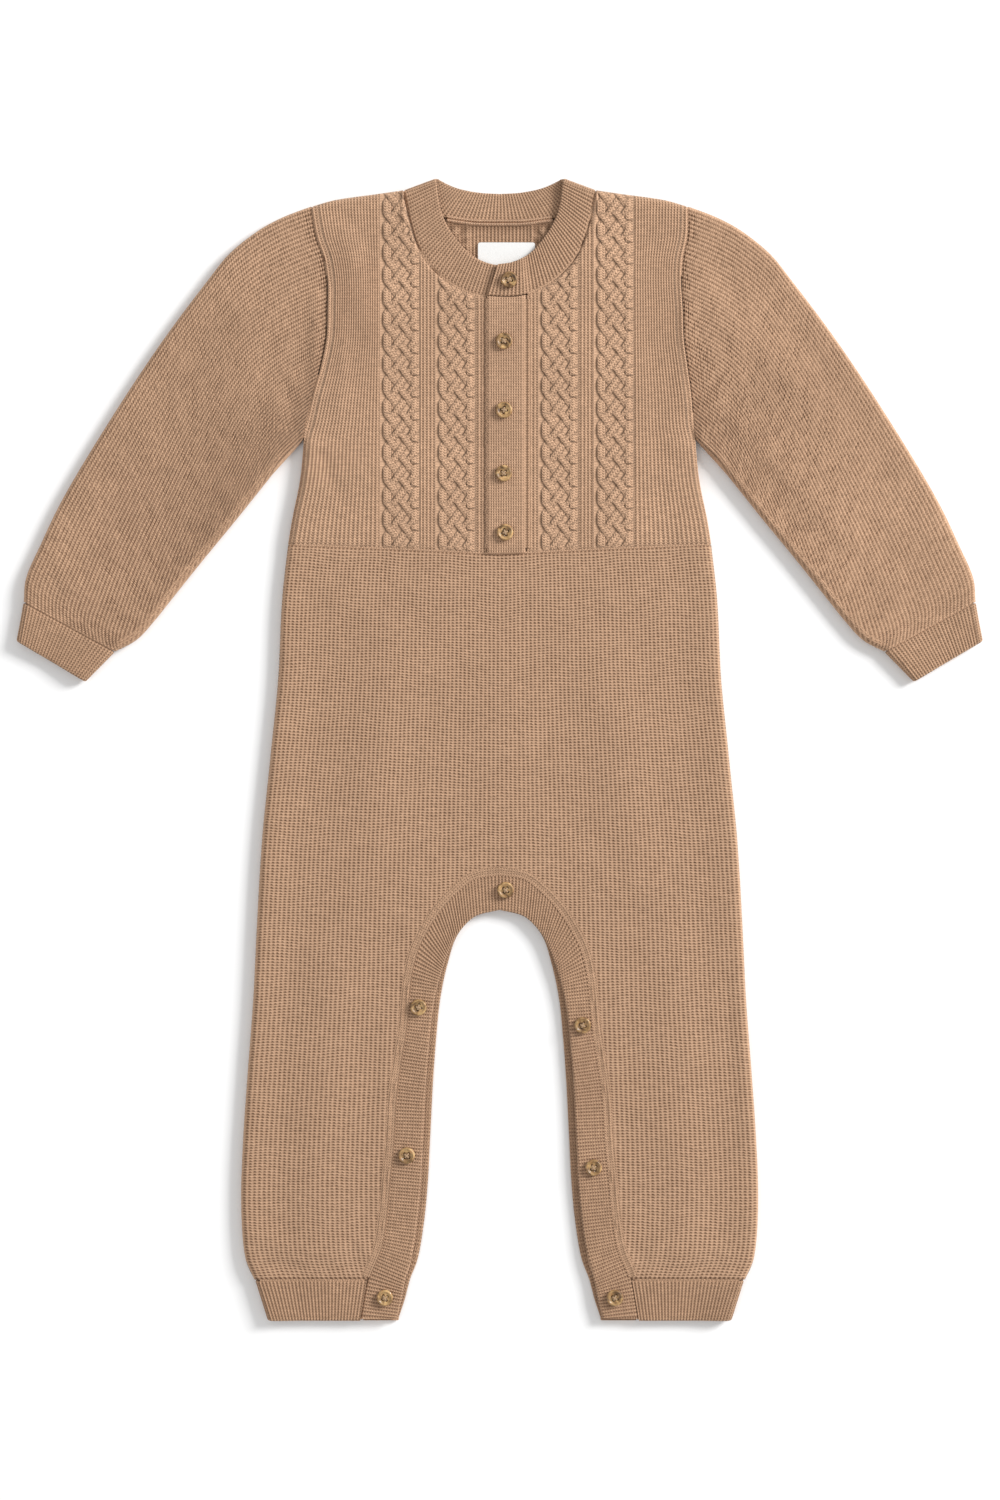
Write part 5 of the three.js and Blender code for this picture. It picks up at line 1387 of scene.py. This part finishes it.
def add_seams():
    """All seam strips, front side."""
    body, neck = pieces["front_body"], pieces["neckband"]
    yokes = [pieces["front_yoke_left"], pieces["front_yoke_right"]]
    crotch = np.column_stack([LEG_SEAM["x"], LEG_SEAM["y"]])
    half = line_points(crotch[:, 0], crotch[:, 1], 1.3)
    leg_path = np.concatenate([mirrored(half[::-1], -1), half[1:]])
    leg_path = leg_path[leg_path[:, 1] > CUFF_SEAM_Y + 0.4]
    sewn("front_body", "seam_leg_band", leg_path,
         (-1.2, -0.95, -0.3, 0.7, 1.3, 1.8, 2.4, 3.0, 3.5, 3.9, 4.3),
         (-0.7, 0.34, 0.52, 0.44, 0.04, 0.3, 0.38, 0.3, 0.04, 0.2, -0.5),
         [body, pieces["leg_band_front"]], materials["rib"])
    waist_x = np.linspace(-115.5, 115.5, 240)
    waist = np.column_stack([waist_x, look_up(WAIST, "x", "y", np.abs(waist_x))])
    sewn("front_body", "seam_waist", waist, (-0.9, -0.5, 0, 0.5, 0.9),
         (-0.4, 0.0, 0.12, 0.0, -0.4), [body, *yokes, pieces["placket_top"]], materials["knit"])
    neck_line = line_points(NECK_SEAM["x"], NECK_SEAM["y"])
    for side in (-1, 1):
        name = SIDE_NAME[side]
        yoke, tube = pieces["front_yoke_" + name], pieces["sleeve_" + name]
        kept = neck_line[(neck_line[:, 0] > (15 if side > 0 else 7)) & (neck_line[:, 1] < 306.9)]
        sewn("front_yoke_" + name, "seam_neck_" + name, mirrored(kept, side),
             (-1.2, -0.8, 0, 0.8, 1.2), (-0.45, -0.08, -0.02, -0.08, -0.45), [yoke, neck],
             materials["lit_rib"], darkest=0.85)
        arm = armhole_path(side)
        lowest = 198 if side < 0 else 178
        hidden = 1 - soft(arm[:, 1], lowest, lowest + 16) * (1 - soft(arm[:, 1], 250, 264))
        outward = np.array([-1.9, -1.5, -1.0, -0.6, -0.15, 0.35])
        sewn("front_yoke_" + name, "seam_armhole_" + name, arm, side * outward,
             (-0.4, 0.04, 0.34, 0.4, 0.22, -0.6), [yoke], materials["knit"], lowered=0.55 * hidden)
        for end, rows in (("shoulder", arm[:, 1] > 260), ("armpit", arm[:, 1] < lowest + 8)):
            sewn("sleeve_" + name, f"seam_{end}_{name}", arm[rows], (-1.3, -0.9, 0, 0.9, 1.3),
                 (-0.45, -0.1, -0.04, -0.1, -0.45), [yoke, tube], materials["knit"], darkest=0.85)
        under = line_points(SLEEVE_UNDER["x"], SLEEVE_UNDER["y"])[4:-3]
        ridge = np.array([1.3, 1.7, 2.2, 2.7, 3.1, 3.6, 4.1, 4.6, 5])
        sewn("sleeve_" + name, "seam_underarm_" + name, mirrored(under, side), side * ridge,
             (-0.5, -0.15, 0.02, 0.05, -0.15, 0.02, 0.05, -0.15, -0.5), [tube], materials["knit"])
        cuff = sleeve_chord(side, 1.0)
        sewn("sleeve_" + name, "seam_sleeve_cuff_" + name, cuff, (-0.8, -0.45, 0, 0.45, 0.8),
             (-0.4, 0.02, 0.16, 0.02, -0.4), [tube, pieces["sleeve_cuff_" + name]], materials["rib"])
        hem = line_points([64.5, 90, 131.5], [CUFF_SEAM_Y] * 3)
        sewn("front_body", "seam_leg_cuff_" + name, mirrored(hem, side),
             (-0.8, -0.45, 0, 0.45, 0.8), (-0.4, 0.02, 0.2, 0.02, -0.4),
             [body, pieces["leg_cuff_" + name]], materials["rib"])
    placket_y = np.linspace(110.5, 247.5, 150)
    right = np.column_stack([np.full(150, PLACKET["right"] + 0.2), placket_y])
    sewn("placket_top", "seam_placket_right", right, (1.9, 1.5, 1.0, 0.5, 0, -0.5, -1.0, -1.5, -1.9),
         (-0.4, 0.06, 0.36, 0.4, 0.05, 0.36, 0.4, 0.06, -0.4), [yokes[1], pieces["placket_top"]],
         materials["rib"])
    scallop = 0.22 * np.sin(placket_y / 0.75) + 0.15 * np.sin(placket_y / 3.1)
    left = np.column_stack([PLACKET["left"] - 0.35 + scallop, placket_y])
    sewn("front_yoke_left", "seam_placket_left", left, (1.1, 0.7, 0.3, -0.1, -0.4),
         (-0.3, 0.2, 0.75, 1.15, 1.2), [yokes[0]], materials["knit"])
    back = line_points([-29, -14, 0, 14, 29], [292, 290, 289.7, 290, 292])
    sewn("back_yoke", "seam_back_neck", back,
         (-1.7, -1.4, -0.9, -0.3, 0.2, 0.7, 1.2, 1.7, 2.2),
         (-0.3, 0.7, 1.3, 1.2, 0.3, 0.85, 0.95, 0.5, -0.3), [pieces["back_yoke"], neck],
         materials["knit"])


def sleeve_chord(side, share):
    """Points across the sleeve at a share of its length, from near the fold to the underarm."""
    outer, under = sleeve_frame(np.array([share]))
    t = np.linspace(0.03, 0.97, 60)[:, None]
    return mirrored(mix(outer, under, t), side)


# Labels
def woven_label(name, left, right, bottom, top, radius, wave):
    """A soft woven label that lies on the inside of the back."""
    across, along = 44, 30
    x = np.linspace(left, right, across)
    y = np.linspace(bottom, top, along)
    gx, gy = np.meshgrid(x, y)
    corner_x = np.maximum(0, np.abs(gx - (left + right) / 2) - ((right - left) / 2 - radius))
    corner_y = np.maximum(0, np.abs(gy - (bottom + top) / 2) - ((top - bottom) / 2 - radius))
    over = np.hypot(corner_x, corner_y)
    scale = np.where(over > radius, radius / np.maximum(over, 1e-9), 1)
    gx = gx - np.sign(gx - (left + right) / 2) * corner_x * (1 - scale)
    gy = gy - np.sign(gy - (bottom + top) / 2) * corner_y * (1 - scale)
    bend = wave * np.sin((gx - left) / 7.0) * np.cos(gy / 9.0)
    base = PLY + 0.35
    upper = np.stack([gx, gy, base + 0.45 + 0.12 + bend], axis=-1)
    lower = np.stack([gx, gy, base + bend], axis=-1)
    cloth = Cloth()
    stitches = np.stack([gx / 0.5, gy / 0.5], axis=-1)
    top_numbers = cloth.add(upper, stitches)
    low_numbers = cloth.add(lower, stitches)
    cloth.grid(top_numbers)
    cloth.grid(low_numbers[:, ::-1])
    for a, b in ((top_numbers[0], low_numbers[0]), (low_numbers[-1], top_numbers[-1]),
                 (low_numbers[:, 0], top_numbers[:, 0]), (top_numbers[:, -1], low_numbers[:, -1])):
        cloth.grid(np.stack([a, b]))
    return cloth.make(name, materials["label"])


# Buttons
BUTTON = {"radius": 4.5, "thickness": 2.1, "dish": 0.66, "hole": 0.72, "hole_at": 1.56,
          "seat": 0.3}


def button_mesh():
    """Four-hole button: a turned blank with a rim round a shallow dish, then drilled."""
    r, h = BUTTON["radius"], BUTTON["thickness"]
    floor = h - BUTTON["dish"]
    profile = [(0, 0), (r - 1.1, 0), (r - 0.45, 0.14), (r - 0.1, 0.5), (r, 0.95), (r - 0.05, 1.4),
               (r - 0.28, 1.85), (r - 0.62, h), (r - 0.95, h - 0.03), (r - 1.25, h - 0.22),
               (r - 1.5, h - 0.5), (r - 1.8, h - 0.62), (1.2, floor), (0, floor)]
    sides = 56
    angle = np.linspace(0, 2 * np.pi, sides, endpoint=False)
    cloth = Cloth()
    rings = []
    for radius, height in profile[1:-1]:
        ring = np.column_stack([radius * np.cos(angle), radius * np.sin(angle),
                                np.full(sides, height)])
        rings.append(cloth.add(ring))
    cloth.grid(np.stack(rings), closed=True)
    for ring, height in ((rings[0][::-1], 0.0), (rings[-1], floor)):
        middle = cloth.add(np.array([[0, 0, height]]))[0]
        after = np.roll(ring, -1)
        cloth.triangles.append(np.column_stack([np.full(sides, middle), ring, after]))
    blank = cloth.make("button_blank", materials["horn"])
    for k in range(4):
        turn = math.pi / 4 + k * math.pi / 2
        bpy.ops.mesh.primitive_cylinder_add(
            vertices=20, radius=BUTTON["hole"] * MM, depth=8 * MM,
            location=(BUTTON["hole_at"] * math.cos(turn) * MM,
                      BUTTON["hole_at"] * math.sin(turn) * MM, 0))
        drill = bpy.context.object
        cut = blank.modifiers.new("hole", "BOOLEAN")
        cut.operation = "DIFFERENCE"
        cut.object = drill
        cut.solver = "EXACT"
        with bpy.context.temp_override(object=blank, active_object=blank):
            bpy.ops.object.modifier_apply(modifier=cut.name)
        bpy.data.objects.remove(drill)
    mesh = blank.data
    bpy.data.objects.remove(blank)
    mesh.materials.clear()
    mesh.materials.append(materials["horn"])
    return mesh


def tube_through(cloth, path, radius, sides=8):
    """A round thread along a path of points."""
    path = np.asarray(path, dtype=float)
    way = np.gradient(path, axis=0)
    way = way / np.linalg.norm(way, axis=1, keepdims=True)
    side = np.cross(way, [0.0, 0.31, 0.95])
    side = side / np.linalg.norm(side, axis=1, keepdims=True)
    up = np.cross(side, way)
    angle = np.linspace(0, 2 * np.pi, sides, endpoint=False)
    ring = (side[:, None] * np.cos(angle)[None, :, None] + up[:, None] * np.sin(angle)[None, :, None])
    numbers = cloth.add(path[:, None] + ring * radius)
    cloth.grid(numbers, closed=True)
    cloth.fan(numbers[0][::-1])
    cloth.fan(numbers[-1])


def button_threads(name, x, y, seat, turned):
    """Two crossed bundles of sewing thread through the four holes of a button."""
    cloth = Cloth()
    floor = BUTTON["thickness"] - BUTTON["dish"]
    for k in range(2):
        turn = math.radians(turned) + math.pi / 4 + k * math.pi / 2
        for strand in (-0.27, 0, 0.27):
            t = np.linspace(-1, 1, 15)
            drop = np.where(np.abs(t) > 0.86, -1.0, 0.0)
            arch = floor + 0.28 + 0.3 * (1 - t ** 4) + 0.12 * k + drop
            along = BUTTON["hole_at"] * np.clip(t * 1.06, -1, 1)
            path = np.column_stack([
                x + along * math.cos(turn) - strand * math.sin(turn),
                y + along * math.sin(turn) + strand * math.cos(turn), seat + arch])
            tube_through(cloth, path, 0.16)
    return cloth.make(name, materials["thread"])


# Materials
class Graph:
    """Short calls for the nodes of one material."""

    def __init__(self, name):
        self.material = bpy.data.materials.new(name)
        self.material.use_nodes = True
        self.nodes, self.links = self.material.node_tree.nodes, self.material.node_tree.links
        self.shader = self.nodes["Principled BSDF"]

    def node(self, kind, inputs=None, **settings):
        made = self.nodes.new(kind)
        for key, value in settings.items():
            setattr(made, key, value)
        for key, value in (inputs or {}).items():
            self.put(made.inputs[key], value)
        return made

    def put(self, socket, value):
        if isinstance(value, bpy.types.NodeSocket):
            self.links.new(value, socket)
        else:
            socket.default_value = value

    def math(self, operation, *values, clamp=False):
        made = self.nodes.new("ShaderNodeMath")
        made.operation = operation
        made.use_clamp = clamp
        for socket, value in zip(made.inputs, values):
            self.put(socket, value)
        return made.outputs[0]

    def wave(self, value):
        """0 to 1 and back for each whole step of value, 1 at whole numbers."""
        angle = self.math("MULTIPLY", value, 2 * math.pi)
        return self.math("MULTIPLY_ADD", self.math("COSINE", angle), 0.5, 0.5)

    def mix(self, factor, a, b):
        made = self.nodes.new("ShaderNodeMix")
        self.put(made.inputs[0], factor)
        self.put(made.inputs[2], a)
        self.put(made.inputs[3], b)
        return made.outputs[0]

    def mix_colour(self, factor, a, b):
        made = self.nodes.new("ShaderNodeMix")
        made.data_type = "RGBA"
        self.put(made.inputs[0], factor)
        self.put(made.inputs[6], a)
        self.put(made.inputs[7], b)
        return made.outputs[2]

    def noise(self, scale, detail=2.0):
        place = self.node("ShaderNodeTexCoord").outputs["Object"]
        made = self.node("ShaderNodeTexNoise", {"Vector": place, "Scale": scale, "Detail": detail})
        return made.outputs["Fac"]


def knit_material(name, light, dark, relief):
    """Knitted wool: chains of stitches, or rows of purl bumps with pits, by the kind value.
    Its colour has painted shade: it is darker in the pits and gaps between stitches and where
    the shade value is low. The kind value also picks a lighter or a darker copy of the yarn
    colour, as painted light and painted shade.
    """
    g = Graph(name)
    uv = g.node("ShaderNodeUVMap", uv_map="stitches").outputs["UV"]
    split = g.node("ShaderNodeSeparateXYZ", {"Vector": uv})
    shade = g.node("ShaderNodeAttribute", attribute_name="shade").outputs["Fac"]
    kind = g.node("ShaderNodeAttribute", attribute_name="kind").outputs["Fac"]
    wobble = g.math("MULTIPLY_ADD", g.noise(260), 0.5, -0.25)
    wale = g.math("ADD", split.outputs["X"], wobble)
    course = g.math("ADD", split.outputs["Y"], g.math("MULTIPLY", wobble, 1.1))

    crest = g.wave(wale)
    purl_course = g.math("MULTIPLY_ADD", crest, -0.22, course)
    purl = g.wave(purl_course)
    between = g.math("SUBTRACT", 1.0, crest)
    pit = g.math("MULTIPLY", g.math("SUBTRACT", 1.0, purl),
                 g.math("MULTIPLY_ADD", between, 0.75, 0.25))

    chain_course = g.math("MULTIPLY_ADD", between, 0.5, course)
    chain = g.wave(chain_course)
    gap = g.math("MULTIPLY", g.math("SUBTRACT", 1.0, chain),
                 g.math("MULTIPLY_ADD", between, 0.6, 0.3))

    hollow = g.mix(kind, gap, pit)
    fibre = g.noise(2600, 3.0)
    height = g.math("SUBTRACT", g.math("MULTIPLY", fibre, 0.22), hollow)
    bump = g.node("ShaderNodeBump", {"Height": height, "Distance": relief, "Strength": 0.8})
    g.links.new(bump.outputs["Normal"], g.shader.inputs["Normal"])

    def dimmed(share):
        return tuple(share * c for c in light[:3]) + (1,)

    along_rows = g.node("ShaderNodeCombineXYZ", {
        "X": g.math("MULTIPLY", wale, 0.3), "Y": g.math("MULTIPLY", course, 0.9)})
    arcs = g.node("ShaderNodeTexNoise", {
        "Vector": along_rows.outputs[0], "Scale": 1.0, "Detail": 1.5}).outputs["Fac"]
    arcs = g.math("MULTIPLY_ADD", arcs, 2.6, -0.8, clamp=True)
    # Painted light and shade: knit of kind 0 (chains and cables) gets a lighter, lit copy of the yarn
    # colour, and pitted knit of kind 1 a darker one.
    base = g.mix_colour(kind, dimmed(1.44), dimmed(1.07))
    patches = g.mix_colour(g.noise(28, 4.0), base, dimmed(0.9))
    streaked = g.mix_colour(g.math("MULTIPLY", arcs, 0.58), patches, dimmed(0.72))
    strands = g.math("MULTIPLY_ADD", g.noise(1300, 2.0), 3.0, -1.0, clamp=True)
    speckled = g.mix_colour(g.math("MULTIPLY", strands, 0.3), streaked, dimmed(0.55))
    # Painted shade: the colour darkens towards the dark colour in the pits and gaps between stitches,
    # and then by the shade value where hollows, creases and seams lie.
    dug = g.mix_colour(g.math("MULTIPLY", hollow, 0.8), speckled, dark)
    deep = g.math("SUBTRACT", 1.0, shade)
    colour = g.mix_colour(g.math("MULTIPLY", deep, 0.9), dug, dark)
    g.links.new(colour, g.shader.inputs["Base Color"])
    g.shader.inputs["Roughness"].default_value = 0.92
    g.shader.inputs["Specular IOR Level"].default_value = 0.18
    g.shader.inputs["Sheen Weight"].default_value = 0.22
    g.shader.inputs["Sheen Roughness"].default_value = 0.45
    g.shader.inputs["Sheen Tint"].default_value = (1, 0.9, 0.78, 1)
    return g.material


def label_material():
    g = Graph("label_tape")
    uv = g.node("ShaderNodeUVMap", uv_map="stitches").outputs["UV"]
    split = g.node("ShaderNodeSeparateXYZ", {"Vector": uv})
    weave = g.math("MULTIPLY", g.wave(split.outputs["X"]), g.wave(split.outputs["Y"]))
    bump = g.node("ShaderNodeBump", {"Height": weave, "Distance": 0.0001, "Strength": 0.5})
    g.links.new(bump.outputs["Normal"], g.shader.inputs["Normal"])
    colour = g.mix_colour(weave, (0.78, 0.77, 0.75, 1), (0.9, 0.9, 0.89, 1))
    g.links.new(colour, g.shader.inputs["Base Color"])
    g.shader.inputs["Roughness"].default_value = 0.55
    g.shader.inputs["Sheen Weight"].default_value = 0.1
    return g.material


def horn_material():
    """Olive and amber horn with soft clouds and darker streaks."""
    g = Graph("button_horn")
    place = g.node("ShaderNodeTexCoord").outputs["Object"]
    info = g.node("ShaderNodeObjectInfo").outputs["Random"]
    moved = g.node("ShaderNodeVectorMath", {0: place}, operation="ADD")
    g.links.new(g.math("MULTIPLY", info, 3.0), moved.inputs[1])
    clouds = g.node("ShaderNodeTexNoise", {
        "Vector": moved.outputs[0], "Scale": 170.0, "Detail": 3.0, "Distortion": 1.4}).outputs["Fac"]
    ramp = g.node("ShaderNodeValToRGB", {"Fac": clouds})
    ramp.color_ramp.elements[0].position = 0.32
    ramp.color_ramp.elements[0].color = (0.1, 0.05, 0.018, 1)
    ramp.color_ramp.elements[1].position = 0.68
    ramp.color_ramp.elements[1].color = (0.6, 0.385, 0.17, 1)
    middle = ramp.color_ramp.elements.new(0.5)
    middle.color = (0.33, 0.19, 0.075, 1)
    g.links.new(ramp.outputs["Color"], g.shader.inputs["Base Color"])
    g.shader.inputs["Roughness"].default_value = 0.42
    g.shader.inputs["Subsurface Weight"].default_value = 0.08
    g.shader.inputs["Subsurface Scale"].default_value = 0.002
    g.shader.inputs["Coat Weight"].default_value = 0.08
    return g.material


def thread_material():
    g = Graph("sewing_thread")
    twist = g.noise(3500, 1.0)
    colour = g.mix_colour(twist, (0.3, 0.18, 0.095, 1), (0.58, 0.4, 0.24, 1))
    g.links.new(colour, g.shader.inputs["Base Color"])
    g.shader.inputs["Roughness"].default_value = 0.7
    return g.material


def floor_material():
    g = Graph("pale_floor")
    colour = g.mix_colour(g.noise(6.0, 2.0), (0.95, 0.95, 0.95, 1), (0.97, 0.97, 0.97, 1))
    g.links.new(colour, g.shader.inputs["Base Color"])
    g.shader.inputs["Roughness"].default_value = 0.85
    g.shader.inputs["Specular IOR Level"].default_value = 0.1
    return g.material


# Camera, light and floor
FRAME_WIDTH = 0.55
FRAME_CENTRE = (0.0002, -0.0003)


def add_camera():
    data = bpy.data.cameras.new("camera")
    data.sensor_fit = "HORIZONTAL"
    data.sensor_width = 36
    data.lens = 110
    distance = data.lens / data.sensor_width * FRAME_WIDTH
    data.clip_end = 20
    camera = bpy.data.objects.new("camera", data)
    camera.location = (*FRAME_CENTRE, distance + 0.004)
    bpy.context.scene.collection.objects.link(camera)
    bpy.context.scene.camera = camera


def add_light(name, size, power, location, target=(0, 0, 0)):
    data = bpy.data.lights.new(name, "AREA")
    data.shape = "RECTANGLE"
    data.size, data.size_y = size
    data.energy = power
    light = bpy.data.objects.new(name, data)
    light.location = location
    way = np.array(target) - np.array(location)
    light.rotation_euler = (
        math.atan2(math.hypot(way[0], way[1]), -way[2]), 0, math.atan2(way[1], way[0]) - math.pi / 2)
    bpy.context.scene.collection.objects.link(light)


def add_surroundings():
    world = bpy.data.worlds.new("studio")
    bpy.context.scene.world = world
    world.use_nodes = True
    world.node_tree.nodes["Background"].inputs["Color"].default_value = (1, 1, 1, 1)
    world.node_tree.nodes["Background"].inputs["Strength"].default_value = 0.58
    add_light("key", (1.4, 1.4), 200, (3.2, 1.75, 2.0))
    add_light("fill", (2.4, 2.4), 20, (-2.4, -1.5, 3.2))
    mesh = bpy.data.meshes.new("floor")
    size = 3.0
    mesh.from_pydata([(-size, -size, 0), (size, -size, 0), (size, size, 0), (-size, size, 0)],
                     [], [(0, 1, 2, 3)])
    floor = bpy.data.objects.new("floor", mesh)
    floor.data.materials.append(floor_material())
    floor.location.z = -0.0004
    bpy.context.scene.collection.objects.link(floor)
    bpy.context.scene.view_settings.view_transform = "Standard"


add_camera()
add_surroundings()

CAMEL = (0.66, 0.415, 0.265, 1)
# Painted shade colour, mixed into the knit in pits, gaps, grooves and creases.
CAMEL_PAINTED_SHADE = (0.13, 0.063, 0.032, 1)
# A darker, shaded copy of the yarn colour for the leg bands, leg cuffs and some seams: painted shade.
SHADED_BAND_CAMEL = (0.556, 0.348, 0.22, 1)
# A lighter, lit copy of the yarn colour for the neckband and the sleeve cuffs: painted light.
LIT_CAMEL = (0.585, 0.368, 0.234, 1)
materials = {
    "knit": knit_material("knit_camel", CAMEL, CAMEL_PAINTED_SHADE, 0.00055),
    "rib": knit_material("rib_camel", SHADED_BAND_CAMEL, CAMEL_PAINTED_SHADE, 0.00045),
    "lit_rib": knit_material("lit_rib_camel", LIT_CAMEL, CAMEL_PAINTED_SHADE, 0.00045),
    "label": label_material(),
    "horn": horn_material(),
    "thread": thread_material(),
}


def dress(piece, slot, *nodes):
    """A piece that rides with the garment and stands for its node."""
    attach(piece, "root")
    if nodes:
        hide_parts(*nodes)
    return piece


pieces = {}
pieces["back_body"] = dress(body("lower", 2, 84, 2.0), "knit", "back_body")
pieces["back_yoke"] = dress(back_yoke(), "knit", "back_yoke")
pieces["front_body"] = dress(body("upper", 2, TORSO_ROWS, BODY_STEP), "knit", "front_body")
for side in (-1, 1):
    name = SIDE_NAME[side]
    pieces["front_yoke_" + name] = dress(front_yoke(side), "knit", "front_yoke_" + name)
    pieces["sleeve_" + name] = dress(sleeve(side), "knit", "sleeve_" + name)
    pieces["sleeve_cuff_" + name] = dress(sleeve_cuff(side), "rib_knit", "sleeve_cuff_" + name)
    pieces["leg_cuff_" + name] = dress(leg_cuff(side), "rib_knit", "leg_cuff_" + name)
pieces["neckband"] = dress(neckband(), "rib_knit", "neckband")
pieces["placket_under"] = dress(placket_under(), "rib_knit", "placket_under")
pieces["placket_top"] = dress(placket_top(), "rib_knit", "placket_top")
pieces["leg_band_front"] = dress(leg_band("upper"), "rib_knit", "leg_band_front")
pieces["leg_band_back"] = dress(leg_band("lower"), "rib_knit", "leg_band_back")
pieces["neck_label"] = dress(
    woven_label("cloth_neck_label", -11.9, 19.5, 257, 279, 1.2, 0.12), "label", "neck_label")
pieces["size_tag"] = dress(
    woven_label("cloth_size_tag", 19.8, 24.7, 263, 276, 0.5, 0.05), "label", "size_tag")

trims = {}
add_seams()

button = button_mesh()
for name, x, y, on, turned in BUTTONS:
    top = LAP["upper_top"] if on == "lap" else UPPER_TOP
    seat = top + float(lift(np.array(x), np.array(y), INLAND)) + BUTTON["seat"]
    piece = bpy.data.objects.new("turned_" + name, button)
    piece.location = (x * MM, y * MM, seat * MM)
    piece.rotation_euler = (0, 0, math.radians(turned))
    bpy.context.scene.collection.objects.link(piece)
    dress(piece, "button", name)
    dress(button_threads("thread_" + name, x, y, seat, turned), "knit")

# The size tag goes with the neck label
trims["neck_label"] = [pieces["size_tag"]]


def plain(box):
    return [[float(value) for value in corner] for corner in box]
